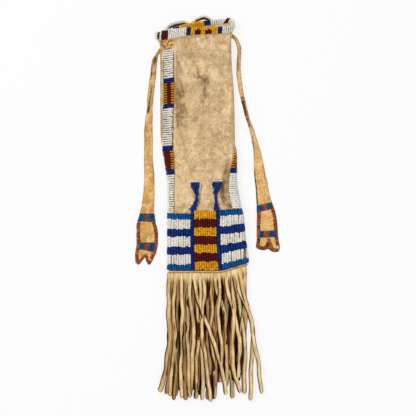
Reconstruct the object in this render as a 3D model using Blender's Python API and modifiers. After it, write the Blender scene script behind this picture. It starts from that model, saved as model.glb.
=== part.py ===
"""Hide pipe bag with a beaded rim, side strips and bottom panel, lying on its back.

Frame, in metres: +Y runs from the fringe to the mouth, +X to the right of someone who looks at the
beaded front, +Z up from the surface that the bag lies on. The origin is on that surface, at the middle
of the flat part of the back that rests on it.

Places below are worked out from a point on the surface level with the top of the beaded panel, and the
finished bag is shifted so that the origin comes to REST_MIDDLE.

The pouch is a flattened tube. A point on it has two coordinates. s is the distance round the tube from
the middle of the front, positive to the right, on round the edge and under the back. t is the station
along it: 1 at the mouth, 0 at the top of the beaded panel, -1 at the bottom seam.
"""

import math
import random
from functools import partial

import bmesh
import bpy
import numpy as np
from mathutils import Matrix

# Clearances
GAP = 0.0003
BEAD_SEAT = 0.0007

# Stations of the pouch's rows of faces: its section changes evenly between them
STATIONS = (-1.0, -0.88, -0.72, -0.5, -0.24, 0.0, 0.07, 0.13, 0.19, 0.25, 0.31, 0.37, 0.43, 0.50, 0.60,
            0.66, 0.71, 0.76, 0.83, 0.90, 0.95, 1.0)
REST_FROM = 0.02
REST_TO = 0.90
REST_RAMP = 0.12
REST_MIDDLE = (-0.009, 0.093)

# Faces round each rounded edge
ARC_STEPS = 4

# Hide pouch: the body above the panel, and how its section changes along it
HIDE = 0.0014
BODY_LENGTH = 0.1994
MOUTH_TILT = 0.090
MOUTH_DROOP = 0.0045
DROOP_FROM = -0.012
DROOP_TO = -0.057
MOUTH_STEP = 0.0034
STEP_FROM = -0.060
STEP_TO = 0.010
FOOT_LIFT = 0.0028
SEAM_LIFT = 0.0026
LEFT_SIDE = ((-1.0, -0.0412), (0.0, -0.0410), (0.12, -0.0412), (0.183, -0.0423), (0.272, -0.0450),
             (0.361, -0.0488), (0.44, -0.0505), (0.86, -0.0508), (0.93, -0.0509), (0.955, -0.0520),
             (1.0, -0.0553))
RIGHT_SIDE = ((-1.0, 0.0444), (-0.94, 0.0442), (-0.507, 0.0406), (0.005, 0.0364), (0.133, 0.0321),
              (0.24, 0.0314), (0.36, 0.0313), (0.605, 0.0303), (0.88, 0.0272), (0.93, 0.0275),
              (1.0, 0.0300))
EDGE_RADIUS = ((-1.0, 0.0019), (-0.88, 0.0031), (-0.72, 0.0040), (-0.5, 0.0044), (0.0, 0.0044),
               (0.5, 0.0046), (0.90, 0.0054), (1.0, 0.0065))
CROWN = ((-1.0, 0.0004), (-0.88, 0.0012), (-0.72, 0.0017), (0.0, 0.0020), (0.5, 0.0024), (1.0, 0.0030))

# Dimple in the front
DIMPLE = (-0.0066, 0.1408)
DIMPLE_DEPTH = 0.0018
DIMPLE_SIZE = (0.0075, 0.0150)

# Beadwork: strings side by side, and the ridge that stands for a pair of them
BEAD_THICK = 0.0013
STRING_PITCH = 0.00275
RIDGE = 0.0004

# Bottom panel: lane heights from the top, the slope of its top edge, and the two dividers
LIGHT_LANE = 0.0063
WHITE_LANE = 0.0109
BLUE_LANE = 0.0088
PANEL_DROP = 0.0050
SEAM_RISE = 0.0075
RISE_FROM = 0.012
RISE_TO = 0.046
PANEL_TOP = ((-0.017, -0.0735), (0.013, -0.022), (0.040, 0.006))
PANEL_FOOT = -0.985
CENTRE_TOP = -0.027
CENTRE_LANES = 7
DIVIDER_WIDTH = 0.0039

# Hourglass figures on the dividers: station, middle and half width
LEFT_FIGURE = ((PANEL_FOOT, -0.0147, DIVIDER_WIDTH / 2), (-0.5, -0.0155, DIVIDER_WIDTH / 2),
               (-0.024, -0.0156, DIVIDER_WIDTH / 2), (0.0, -0.0147, 0.0037), (0.022, -0.0128, 0.0028),
               (0.060, -0.0110, 0.0017), (0.088, -0.0112, 0.0022), (0.125, -0.0121, 0.0045),
               (0.149, -0.0123, 0.0049))
RIGHT_FIGURE = ((PANEL_FOOT, 0.0154, DIVIDER_WIDTH / 2), (-0.5, 0.0132, DIVIDER_WIDTH / 2),
                (-0.024, 0.0121, DIVIDER_WIDTH / 2), (0.0, 0.0116, 0.0036), (0.022, 0.0110, 0.0024),
                (0.060, 0.0107, 0.0012), (0.088, 0.0110, 0.0020), (0.125, 0.0116, 0.0050),
                (0.151, 0.0117, 0.0056))

# Side strips: one lane of strings each, in fields from the top down, which lies so far below the mouth
STRIP_WIDTH = 0.0115
LEFT_STRIP_DROP = 0.0233
RIGHT_STRIP_DROP = 0.0215
STRIP_FIELDS = (("white", 0.0320), ("blue", 0.0050), ("yellow", 0.0236), ("blue", 0.0040),
                ("white", 0.0422), ("blue", 0.0055), ("yellow", 0.0209), ("blue", 0.0055),
                ("white", 0.0418))
MAROON_BAR = 0.0038
BAR_END = 0.0008
LEFT_SET = ((-0.08, 0.0020), (0.12, 0.0022), (0.18, 0.0039), (0.25, 0.0057), (0.33, 0.0078),
            (0.44, 0.0108), (0.78, 0.0110), (0.93, 0.0120))
RIGHT_SET = ((-0.03, 0.0044), (0.022, 0.0044), (0.105, 0.0035), (0.22, 0.0018), (0.27, -0.0012),
             (0.33, -0.0050), (0.40, -0.0070), (0.93, -0.0070))

# Rim: a roll of bead strings on the cut edge, in fields from the left of the front round to the back
RIM_HEIGHT = 0.0105
RIM_THICK = 0.0052
RIM_START = -0.0378
RIM_FIELDS = (("maroon", 0.0066), ("white", 0.0209), ("blue", 0.0044), ("yellow", 0.0297),
              ("blue", 0.0044), ("white", 0.0259), ("maroon", 0.0057), ("white", 0.0154),
              ("blue", 0.0060), ("yellow", 0.0290), ("blue", 0.0055), ("white", 0.0333))
RIM_FIGURES = (0.0035, 0.0150)
RIM_FIGURE_WIDTH = 0.0060
RIM_FIGURE_FOOT = math.radians(-56)
RIM_FIGURE_TIP = math.radians(35)
RIM_FIGURE_DEPTH = 0.0008

# Seam welt and fringe
WELT = 0.0034
STRANDS = 14
STRAND_WIDTH = 0.0037
STRAND_THICK = 0.0012
STRAND_LAYER = 0.0015
HEADER = 0.0040
FRINGE_END = -0.204
FRINGE_RAGGED = 0.008
FRINGE_LEFT = -0.0535
FRINGE_RIGHT = 0.0425
STRAY_RIGHT = (0.0500, 0.0595)

# Ties: thickness, then the line of the middle, as the place across and the distance below the mouth,
# and the width
TIE_THICK = 0.0013
TIE_NOTCH = 0.0130
TIE_TURN = math.radians(32)
LEFT_TIE_ROOT = 0.928
LEFT_TIE = ((-0.0537, 0.0242, 0.0044), (-0.0556, 0.0304, 0.0048), (-0.0566, 0.0374, 0.0060),
            (-0.0583, 0.0487, 0.0066), (-0.0600, 0.0619, 0.0066), (-0.0616, 0.0751, 0.0068),
            (-0.0624, 0.0874, 0.0066), (-0.0633, 0.1015, 0.0080), (-0.0638, 0.1147, 0.0092),
            (-0.0638, 0.1455, 0.0096), (-0.0630, 0.1631, 0.0110), (-0.0633, 0.1807, 0.0122),
            (-0.0640, 0.1914, 0.0132), (-0.0650, 0.2014, 0.0148), (-0.0655, 0.2079, 0.0178),
            (-0.0656, 0.2159, 0.0230), (-0.0656, 0.2313, 0.0238), (-0.0660, 0.2444, 0.0240),
            (-0.0668, 0.2610, 0.0205))
LEFT_TWIST = 0.0874
RIGHT_TIE_ROOT = 0.937
RIGHT_TIE = ((0.0318, 0.0126, 0.0040), (0.0346, 0.0179, 0.0042), (0.0361, 0.0245, 0.0042),
             (0.0356, 0.0339, 0.0044), (0.0353, 0.0474, 0.0048), (0.0365, 0.0594, 0.0050),
             (0.0391, 0.0751, 0.0046), (0.0424, 0.0884, 0.0044), (0.0457, 0.1015, 0.0042),
             (0.0490, 0.1103, 0.0044), (0.0525, 0.1234, 0.0060), (0.0557, 0.1367, 0.0076),
             (0.0576, 0.1521, 0.0112), (0.0590, 0.1631, 0.0126), (0.0605, 0.1719, 0.0138),
             (0.0621, 0.1851, 0.0150), (0.0644, 0.1983, 0.0188), (0.0660, 0.2071, 0.0222),
             (0.0667, 0.2159, 0.0236), (0.0674, 0.2313, 0.0248), (0.0669, 0.2451, 0.0243))
RIGHT_TWIST = 0.1059

# Hanging thong: a strap on its edge behind the back lip, with two loops, each from, to and height
THONG_WIDTH = 0.0036
THONG_THICK = 0.0011
LOOPS = ((-0.0440, -0.0215, 0.0035), (-0.0155, 0.0065, 0.0036))

PANEL_HEIGHT = PANEL_DROP + 2 * LIGHT_LANE + 3 * WHITE_LANE + 2 * BLUE_LANE
BEAD_TOP = BEAD_SEAT + BEAD_THICK

# Colour, roughness
FINISHES = {
    "hide": ((0.56, 0.40, 0.23), 0.90),
    "thong": ((0.64, 0.40, 0.17), 0.88),
    "white": ((0.66, 0.63, 0.57), 0.30),
    "blue": ((0.012, 0.030, 0.160), 0.25),
    "light_blue": ((0.012, 0.090, 0.250), 0.25),
    "maroon": ((0.085, 0.008, 0.008), 0.25),
    "yellow": ((0.600, 0.290, 0.016), 0.30),
}


def clear_scene():
    for old in list(bpy.data.objects):
        bpy.data.objects.remove(old, do_unlink=True)


def ease(value):
    """Smooth step from 0 to 1."""
    q = np.clip(value, 0.0, 1.0)
    return q * q * (3.0 - 2.0 * q)


def level(stations, t):
    """Straight runs between stations, as pairs of place and value."""
    table = np.array(stations)
    return np.interp(t, table[:, 0], table[:, 1])


def flow(places, values, t):
    """Cubic through the stations. Slopes come from both neighbours, held back so that none overshoots."""
    x = np.asarray(places, float)
    v = np.asarray(values, float)
    slope = np.gradient(v, x)
    secant = np.diff(v) / np.diff(x)
    steepest = 3 * np.minimum(np.abs(secant[:-1]), np.abs(secant[1:]))
    same_way = secant[:-1] * secant[1:] > 0
    slope[1:-1] = np.where(same_way, np.clip(slope[1:-1], -steepest, steepest), 0.0)
    t = np.clip(np.asarray(t, float), x[0], x[-1])
    i = np.clip(np.searchsorted(x, t) - 1, 0, len(x) - 2)
    h = x[i + 1] - x[i]
    q = (t - x[i]) / h
    start = (1 + 2 * q) * (1 - q) ** 2 * v[i] + q * (1 - q) ** 2 * h * slope[i]
    return start + q * q * (3 - 2 * q) * v[i + 1] + q * q * (q - 1) * h * slope[i + 1]


def curve_of(stations, t, column=1):
    table = np.array(stations)
    return flow(table[:, 0], table[:, column], t)


def section(t):
    """Middle, half of the flat width, and edge radius of the pouch at a station."""
    left = np.interp(t, STATIONS, curve_of(LEFT_SIDE, STATIONS))
    right = np.interp(t, STATIONS, curve_of(RIGHT_SIDE, STATIONS))
    radius = np.interp(t, STATIONS, level(EDGE_RADIUS, STATIONS))
    return (left + right) / 2, (right - left) / 2 - radius, radius


def girth(t):
    _, flat, radius = section(t)
    return 4 * flat + 2 * math.pi * radius


def extreme(t):
    """Distance round the section from the middle of the front to the outermost line of the edge."""
    _, flat, radius = section(t)
    return flat + math.pi / 2 * radius


def mouth_line(x):
    """Height of the mouth above the panel: a slanting line whose left end droops."""
    return BODY_LENGTH + MOUTH_TILT * x - MOUTH_DROOP * ease((x - DROOP_FROM) / (DROOP_TO - DROOP_FROM))


def lip_step(x):
    """How far the back lip stands above the mouth line, and the front lip below it."""
    return MOUTH_STEP * np.clip((x - STEP_FROM) / (STEP_TO - STEP_FROM), 0.0, 1.0)


def seam_depth(x):
    return PANEL_HEIGHT - SEAM_RISE * ease((x - RISE_FROM) / (RISE_TO - RISE_FROM))


def height_of(t, x):
    """Distance up from the panel's top, down to the seam where it is negative, for a station."""
    return np.where(t >= 0, t * mouth_line(x), t * seam_depth(x))


def station_of(y, x):
    return np.where(y >= 0, y / mouth_line(x), y / seam_depth(x))


def dimple(x, y):
    """Depth of the dimple below the front at a place."""
    across = (x - DIMPLE[0]) / DIMPLE_SIZE[0]
    along = (y - DIMPLE[1]) / DIMPLE_SIZE[1]
    return DIMPLE_DEPTH * np.exp(-across ** 2 - along ** 2)


def foot(t):
    """Height of the underside along the two edges."""
    return np.interp(t, (-1.0, -0.72), (SEAM_LIFT, FOOT_LIFT))


def resting(t):
    """Share of its height that the middle of the back drops at a station, down to the surface."""
    return ease((t - REST_FROM) / REST_RAMP) * ease((REST_TO - t) / REST_RAMP)


def skin(s, t, lift=0.0):
    """Points on the outside of the pouch, or that far outside it."""
    s, t, lift = np.broadcast_arrays(np.asarray(s, float), np.asarray(t, float), lift)
    middle, flat, radius = section(t)
    loop = 4 * flat + 2 * math.pi * radius
    s = (s + loop / 2) % loop - loop / 2
    side = np.where(s < 0, -1.0, 1.0)
    reach = np.abs(s)
    arc = np.clip((reach - flat) / radius, 0.0, math.pi)
    under = np.maximum(reach - flat - math.pi * radius, 0.0)
    offset = np.minimum(reach, flat) + (radius + lift) * np.sin(arc) - under
    x = middle + side * offset
    low = foot(t)
    bulge = level(CROWN, t) * np.clip(1 - (reach / flat) ** 2, 0.0, 1.0) ** 2
    front = low + 2 * radius + bulge + lift - dimple(x, t * BODY_LENGTH)
    edge = low + radius + (radius + lift) * np.cos(arc)
    sag = resting(t) * (1 - ease((np.abs(x - middle) / flat - 0.35) / 0.65))
    back = low * (1 - sag) - lift
    z = np.where(reach <= flat, front, np.where(under > 0, back, edge))
    y = height_of(t, x) - lip_step(x) * np.cos(arc) * ease((t - 0.80) / 0.15)
    return np.stack([x, y, z], axis=-1)


def finish(name):
    colour, roughness = FINISHES[name]
    label = "beads_" + name if name not in ("hide", "thong") else name
    material = bpy.data.materials.get(label) or bpy.data.materials.new(label)
    material.use_nodes = True
    shader = material.node_tree.nodes["Principled BSDF"]
    shader.inputs["Base Color"].default_value = (*colour, 1.0)
    shader.inputs["Roughness"].default_value = roughness
    shader.inputs["Metallic"].default_value = 0.0
    return material


def add_object(name, mesh, colour, home="pipe_bag"):
    obj = bpy.data.objects.new(name, mesh)
    mesh.materials.append(finish(colour))
    bpy.data.collections[home].objects.link(obj)
    return obj


def sheet(across, along):
    """A flat grid as a bmesh, with the two parameters of its points, each from 0 to 1."""
    bm = bmesh.new()
    bmesh.ops.create_grid(bm, x_segments=across, y_segments=along, size=0.5)
    flat = np.array([vert.co[:] for vert in bm.verts])
    span = flat.max(axis=0) - flat.min(axis=0)
    u = (flat[:, 0] - flat[:, 0].min()) / span[0]
    v = (flat[:, 1] - flat[:, 1].min()) / span[1]
    return bm, u, v


def bend(bm, points):
    for vert, point in zip(bm.verts, points):
        vert.co = point


def to_mesh(bm, name):
    mesh = bpy.data.meshes.new(name)
    bm.to_mesh(mesh)
    bm.free()
    return mesh


def thicken(obj, thickness, offset):
    solid = obj.modifiers.new("thickness", "SOLIDIFY")
    solid.thickness = thickness
    solid.offset = offset
    solid.use_even_offset = False
    return obj


def bead_patch(name, colour, across, along, place, ridges):
    """Strings laid on the hide. place gives s and t, ridges the height of each point, 0 to 1."""
    bm, u, v = sheet(across, along)
    s, t = place(u, v)
    bend(bm, skin(s, t, BEAD_TOP + RIDGE * ridges(u, v)))
    return thicken(add_object(name, to_mesh(bm, name), colour), BEAD_THICK, -1.0)


def every_other(parameter, steps):
    return np.round(parameter * steps) % 2


def steps_for(length):
    """An even number of half ridges that fits a length."""
    return max(2, 2 * round(length / (2 * STRING_PITCH)))


def zoned(u, counts, stops):
    """Distance at a share u of all columns, where counts says how many lie between two stops."""
    ring = np.concatenate([[0], np.cumsum(counts)])
    place = np.round(u * ring[-1])
    zone = np.clip(np.searchsorted(ring, place, side="right") - 1, 0, len(counts) - 1)
    part = (place - ring[zone]) / np.array(counts)[zone]
    index = np.arange(len(u))
    return stops[zone, index] * (1 - part) + stops[zone + 1, index] * part


def build_pouch():
    """The hide: a tube on the section, closed by a flat face at the seam, then thickened inwards."""
    counts = (3, ARC_STEPS, 12, ARC_STEPS, 3)
    rows = len(STATIONS) - 1
    bm, u, v = sheet(sum(counts), rows)
    t = np.array(STATIONS)[np.round(v * rows).astype(int)]
    _, flat, radius = section(t)
    corner = flat + math.pi * radius
    s = zoned(u, counts, np.stack([-corner - flat, -corner, -flat, flat, corner, corner + flat]))
    x = skin(s, t)[:, 0]
    t = np.where(t == 1.0, 1.0 - (RIM_HEIGHT / 2 + RIDGE / 2 + GAP) / mouth_line(x), t)
    bend(bm, skin(s, t))
    bmesh.ops.remove_doubles(bm, verts=bm.verts, dist=0.00005)
    foot_edges = [edge for edge in bm.edges if edge.is_boundary and edge.verts[0].co.y < 0]
    cap = bmesh.ops.triangle_fill(bm, use_beauty=True, use_dissolve=False, edges=foot_edges)
    for face in (item for item in cap["geom"] if isinstance(item, bmesh.types.BMFace)):
        face.normal_update()
        if face.normal.y > 0:
            face.normal_flip()
    pouch = thicken(add_object("pouch_hide", to_mesh(bm, "pouch_hide"), "hide"), HIDE, -1.0)
    pouch.data.shade_smooth()
    return pouch


def panel_top(s):
    """Station of the panel's top edge at a distance s round the section."""
    return level(PANEL_TOP, skin(s, -0.02)[..., 0])


def figure_line(figure, t):
    middle, _, _ = section(t)
    return curve_of(figure, t, 1) - middle, level([(row[0], row[2]) for row in figure], t)


def build_panel():
    """Seven lanes: side blocks that run on round the back, and a centre block between the dividers."""
    lanes = (("light_blue", LIGHT_LANE), ("white", WHITE_LANE), ("blue", BLUE_LANE), ("white", WHITE_LANE),
             ("blue", BLUE_LANE), ("white", WHITE_LANE), ("light_blue", LIGHT_LANE))
    total = sum(height for _, height in lanes)
    slit = GAP / 2 / total
    clear = DIVIDER_WIDTH / 2 + GAP

    def stops_at(t):
        middle, flat, radius = section(t)
        start = curve_of(RIGHT_FIGURE, t, 1) - middle + clear
        end = girth(t) + curve_of(LEFT_FIGURE, t, 1) - middle - clear
        turn = flat + math.pi * radius
        return np.stack([start, flat, turn, girth(t) - turn, girth(t) - flat, end])

    typical = stops_at(np.array([-0.5]))[:, 0]
    right_run = steps_for(typical[1] - typical[0])
    left_run = steps_for(typical[5] - typical[4])
    counts = (right_run, ARC_STEPS, 2, ARC_STEPS, left_run)
    across = sum(counts)

    def round_back(u, t):
        return zoned(u, counts, stops_at(t))

    def side_ridges(u, v, edge=0.2):
        return every_other(u, across) * np.where((v > 0.1) & (v < 0.9), 1.0, edge)

    done = 0.0
    for number, (colour, height) in enumerate(lanes, start=1):
        upper = done / total + slit
        lower = (done + height) / total - slit
        done += height

        def side_place(u, v, upper=upper, lower=lower):
            top = panel_top(round_back(u, np.full_like(u, -0.02)))
            share = lower + (upper - lower) * v
            t = top + (PANEL_FOOT - top) * share
            return round_back(u, t), t

        if colour == "light_blue":
            rows = 1
            height = partial(side_ridges, edge=0.6)
        else:
            rows = 2
            height = side_ridges
        bead_patch(f"side_band_{number}", colour, across, rows, side_place, height)

    centre_run = curve_of(RIGHT_FIGURE, -0.5) - curve_of(LEFT_FIGURE, -0.5) - 2 * clear
    run = steps_for(float(centre_run))
    for number in range(1, CENTRE_LANES + 1):
        colour = "yellow" if number % 2 else "maroon"

        def centre_place(u, v, number=number):
            share = (number - v) / CENTRE_LANES + np.where(v > 0.5, 1, -1) * np.abs(2 * v - 1) * slit
            t = CENTRE_TOP + (PANEL_FOOT - CENTRE_TOP) * share
            middle = section(t)[0]
            start = curve_of(LEFT_FIGURE, t, 1) - middle + clear
            end = curve_of(RIGHT_FIGURE, t, 1) - middle - clear
            return start + (end - start) * u, t

        def centre_ridges(u, v):
            return every_other(u, run) * np.where((v > 0.1) & (v < 0.9), 1.0, 0.2)

        bead_patch(f"centre_band_{number}", colour, run, 2, centre_place, centre_ridges)


def build_figures():
    """The dark blue dividers, each in one with the hourglass figure above it."""
    for name, figure in (("figure_left", LEFT_FIGURE), ("figure_right", RIGHT_FIGURE)):
        panel_rows = steps_for(PANEL_HEIGHT)
        figure_rows = 10
        rows = panel_rows + figure_rows

        def place(u, v, figure=figure, rows=rows, panel_rows=panel_rows):
            foot_t, turn_t, top_t = figure[0][0], figure[2][0], figure[-1][0]
            t = np.interp(np.round(v * rows), (0, panel_rows, rows), (foot_t, turn_t, top_t))
            line, half = figure_line(figure, t)
            return line + half * (2 * u - 1), t

        bead_patch(name, "blue", 1, rows, place, lambda u, v, rows=rows: every_other(v, rows))


def build_strip(side, drop, settings, flip, turning, ridged):
    """One side strip in its fields. settings gives how far its middle lies in front of the edge.

    From the field numbered turning on, the strip bends round the edge and takes a third column.
    The fields before the one numbered ridged lie underneath and have no ridges.
    """
    top = BODY_LENGTH - drop
    for number, (colour, length) in enumerate(STRIP_FIELDS, start=1):
        upper = top - GAP / 2
        lower = top - length + GAP / 2
        top -= length
        last = number == len(STRIP_FIELDS)
        rows = steps_for(length) if number >= ridged else 4
        columns = (0.0, 0.28, 1.0) if number < turning else (0.0, 0.333, 0.667, 1.0)

        def place(u, v, upper=upper, lower=lower, last=last, width=STRIP_WIDTH, trim=0.0, columns=columns):
            u = np.interp(u, np.linspace(0, 1, len(columns)), columns)
            lead = curve_of(settings, np.full_like(u, -0.02))
            base = flip * (extreme(-0.02) - lead) + width * (u - 0.5)
            x = skin(base, -0.02)[:, 0]
            start = upper - trim
            end = height_of(panel_top(base), x) + GAP if last else lower + trim
            t = station_of(end + (start - end) * v, x)
            lead = curve_of(settings, t)
            return flip * (extreme(t) - lead) + width * (u - 0.5), t

        def ridges(u, v, rows=rows, height=float(number >= ridged)):
            return height * every_other(v, rows)

        name = f"strip_{side}_{number}"
        field = bead_patch(name, colour, len(columns) - 1, rows, place, ridges)
        if colour == "yellow":
            inlay_bar(field, name, rows, place, ridges)


def inlay_bar(field, name, rows, place, ridges):
    """A maroon bar down the middle of a yellow field, set in a slot cut right through it."""
    def bar_place(width, trim):
        return lambda u, v: place(u, v, width=width, trim=trim, columns=(0.0, 1.0))

    wider = bar_place(MAROON_BAR + 2 * GAP, BAR_END)
    slot = bead_patch(name + "_slot", "maroon", 1, 4, wider, lambda u, v: 0.5)
    slot.modifiers["thickness"].thickness = 4 * BEAD_THICK
    slot.modifiers["thickness"].offset = 0.0
    as_cutter(slot)
    cut(field, slot)
    bead_patch(name + "_bar", "maroon", 1, rows, bar_place(MAROON_BAR, BAR_END + GAP), ridges)


def as_cutter(obj):
    for home in list(obj.users_collection):
        home.objects.unlink(obj)
    bpy.data.collections["cutters"].objects.link(obj)
    obj.hide_render = True
    obj.display_type = "WIRE"


def cut(target, cutter):
    boolean = target.modifiers.new("cut", "BOOLEAN")
    boolean.operation = "DIFFERENCE"
    boolean.object = cutter
    boolean.solver = "EXACT"


def roll_point(s, angle, swell=0.0):
    """Points of the rim's oval roll: s round the mouth, angle 0 facing outwards and 90 past the lip."""
    _, flat, radius = section(1.0)
    loop = 4 * flat + 2 * math.pi * radius
    s = (s + loop / 2) % loop - loop / 2
    arc = np.clip((np.abs(s) - flat) / radius, 0.0, math.pi)
    outward = np.stack([np.sign(s) * np.sin(arc), np.zeros_like(arc), np.cos(arc)], axis=-1)
    half_thick = (RIM_THICK / 2 + swell) * np.cos(angle)
    half_height = (RIM_HEIGHT / 2 + swell) * np.sin(angle)
    along = np.array((0.0, 1.0, 0.0))
    return skin(s, 1.0, -HIDE / 2) + outward * half_thick[:, None] + along * half_height[:, None]


def rim_figure(name, middle, margin, swell, depth):
    """A pointed field on the outer face of the roll: a small grid whose top row closes in."""
    bm, u, v = sheet(2, 3)
    half = RIM_FIGURE_WIDTH / 2 * np.where(v > 0.9, 0.25, 1.0) + margin
    turn = margin / (RIM_HEIGHT / 2)
    angle = (RIM_FIGURE_FOOT - turn) + (RIM_FIGURE_TIP - RIM_FIGURE_FOOT + 2 * turn) * v
    bend(bm, roll_point(middle + half * (2 * u - 1), angle, swell))
    return thicken(add_object(name, to_mesh(bm, name), "maroon"), depth, -1.0)


def build_rim():
    """The rolled rim: an oval roll carried round the mouth, one closed length for each field."""
    sides = 7
    loop = float(girth(1.0))
    scale = loop / sum(length for _, length in RIM_FIELDS)
    start = RIM_START
    for number, (colour, length) in enumerate(RIM_FIELDS, start=1):
        end = start + length * scale
        steps = steps_for(length * scale)
        bm, u, v = sheet(steps, sides)
        s = (start + GAP / 2) + (end - start - GAP) * u
        bend(bm, roll_point(s, 2 * math.pi * v, RIDGE / 2 * every_other(u, steps)))
        bmesh.ops.remove_doubles(bm, verts=bm.verts, dist=0.00005)
        bmesh.ops.holes_fill(bm, edges=[edge for edge in bm.edges if edge.is_boundary], sides=sides)
        bmesh.ops.recalc_face_normals(bm, faces=bm.faces)
        name = f"rim_{number:02d}_{colour}"
        field = add_object(name, to_mesh(bm, name), colour)
        for index, middle in enumerate(RIM_FIGURES, start=1):
            if start < middle < end:
                depth = BEAD_THICK + RIM_FIGURE_DEPTH + GAP
                pocket = rim_figure(f"rim_pocket_{index}", middle, GAP, BEAD_THICK, depth)
                as_cutter(pocket)
                cut(field, pocket)
                rim_figure(f"rim_figure_{index}", middle, 0.0, 0.0, RIM_FIGURE_DEPTH)
        start = end


def build_welt():
    """The rolled hide edge under the panel: a round tube along the seam."""
    data = bpy.data.curves.new("seam_welt", "CURVE")
    data.dimensions = "3D"
    data.bevel_depth = WELT / 2
    data.bevel_resolution = 1
    data.use_fill_caps = True
    middle, flat, radius = section(-1.0)
    count = 15
    spline = data.splines.new("POLY")
    spline.points.add(count - 1)
    for point, x in zip(spline.points, np.linspace(middle - flat, middle + flat, count)):
        point.co = (x, -seam_depth(x) - GAP - WELT / 2, SEAM_LIFT + radius, 1.0)
    welt = bpy.data.objects.new("seam_welt", data)
    data.materials.append(finish("hide"))
    bpy.data.collections["pipe_bag"].objects.link(welt)
    return welt


def build_fringe(name, header_z, low_z, seed):
    """A comb of hide strands: a grid slit below its header, each strip bent to its own line."""
    rng = random.Random(seed)
    shares = np.array((0.0, 0.09, 0.26, 0.50, 0.75, 1.0))
    columns = 2 * STRANDS - 1
    rows = len(shares)
    bm, u, v = sheet(columns, rows)
    middle, flat, radius = section(-1.0)
    left = middle - flat
    pitch = 2 * flat / STRANDS
    column = np.round(u * columns).astype(int)
    row = np.round((1 - v) * rows).astype(int)
    strand = column // 2
    side = np.where(column % 2, 0.5, -0.5)
    root = left + pitch * (strand + 0.5)
    end_x = np.linspace(FRINGE_LEFT, FRINGE_RIGHT, STRANDS - 2)
    end_x = np.concatenate([end_x, STRAY_RIGHT])
    end_x += np.array([rng.uniform(-0.0012, 0.0012) for _ in range(STRANDS)])
    end_y = np.array([FRINGE_END + rng.uniform(-1, 1) * FRINGE_RAGGED for _ in range(STRANDS)])
    sway = np.array([rng.uniform(-0.0016, 0.0016) for _ in range(STRANDS)])
    swing = np.array([rng.uniform(0.6, 1.3) for _ in range(STRANDS)])
    q = np.where(row > 0, shares[np.maximum(row - 1, 0)], 0.0)
    line = root + (end_x[strand] - root) * q ** 1.15
    line += sway[strand] * np.sin(2 * math.pi * swing[strand] * q) * q
    hem = -seam_depth(root + side * pitch) - 3 * GAP - WELT
    y = np.where(row > 0, (hem - HEADER) + (end_y[strand] - hem + HEADER) * q, hem)
    width = np.where(row > 1, STRAND_WIDTH, pitch - GAP)
    level_z = low_z + STRAND_LAYER * (strand % 2)
    z = header_z + (level_z - header_z) * ease(q * 4)
    bend(bm, np.stack([line + side * width, y, z], axis=-1))
    slits = []
    for face in bm.faces:
        indices = [vert.index for vert in face.verts]
        if len(set(strand[indices])) == 2 and row[indices].min() >= 1:
            slits.append(face)
    bmesh.ops.delete(bm, geom=slits, context="FACES_ONLY")
    bmesh.ops.delete(bm, geom=[edge for edge in bm.edges if edge.is_wire], context="EDGES")
    return thicken(add_object(name, to_mesh(bm, name), "hide"), STRAND_THICK, 0.0)


def build_strap(name, path, widths, roll, thickness, ends, rows, across=4):
    """A flat strap along a line: widths and roll follow it, and ends shapes its last edge."""
    points = np.array(path)
    reach = np.concatenate([[0], np.cumsum(np.linalg.norm(np.diff(points, axis=0), axis=1))])
    bm, u, v = sheet(across, rows)
    length = reach[-1]
    cut_back = np.interp(u, np.linspace(0, 1, len(ends)), ends)
    d = np.clip((1 - v) * (length - cut_back), 0.0, length)
    centre = np.stack([flow(reach, points[:, axis], d) for axis in range(3)], axis=-1)
    step = 0.0005
    ahead = np.stack([flow(reach, points[:, axis], d + step) for axis in range(3)], axis=-1)
    behind = np.stack([flow(reach, points[:, axis], d - step) for axis in range(3)], axis=-1)
    heading = ahead - behind
    heading /= np.linalg.norm(heading, axis=1)[:, None]
    level_side = np.stack([-heading[:, 1], heading[:, 0], np.zeros(len(d))], axis=-1)
    level_side /= np.linalg.norm(level_side, axis=1)[:, None]
    up = np.cross(heading, level_side)
    angle = roll(d)
    side = level_side * np.cos(angle)[:, None] + up * np.sin(angle)[:, None]
    width = flow(reach, widths, d)
    bend(bm, centre + side * (width * (u - 0.5))[:, None])
    bmesh.ops.recalc_face_normals(bm, faces=bm.faces)
    return thicken(add_object(name, to_mesh(bm, name), "thong"), thickness, 0.0)


def build_tie(name, root_t, flip, route, twist):
    """A tie: rooted against the pouch's edge, down to the surface, turned once, with a forked tab."""
    root = skin(flip * float(extreme(root_t)), root_t, GAP + TIE_THICK / 2)
    points = [tuple(root)]
    widths = [route[0][2]]
    fall = 0.060
    tilt = math.sin(TIE_TURN)
    rest_z = TIE_THICK / 2 + GAP
    for x, below, width in route:
        y = BODY_LENGTH - below
        drop = float(ease((root[1] - y) / fall))
        standing = 1 - float(ease((root[1] - y) / 0.020))
        twisting = math.exp(-((below - twist) / 0.006) ** 2)
        raised = rest_z + width / 2 * max(standing, tilt * twisting)
        points.append((x, y, raised + (root[2] - raised) * (1 - drop)))
        widths.append(width)
    spans = np.linalg.norm(np.diff(np.array(points), axis=0), axis=1)
    turn_at = sum(spans[:1 + min(range(len(route)), key=lambda i: abs(route[i][1] - twist))])

    def roll(d):
        return math.pi / 2 * (1 - ease(d / 0.022)) + TIE_TURN * np.exp(-((d - turn_at) / 0.008) ** 2)

    ends = (0.55 * TIE_NOTCH, 0.0, TIE_NOTCH, 0.0, 0.55 * TIE_NOTCH)
    return build_strap(name, points, widths, roll, TIE_THICK, ends, 16)


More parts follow.
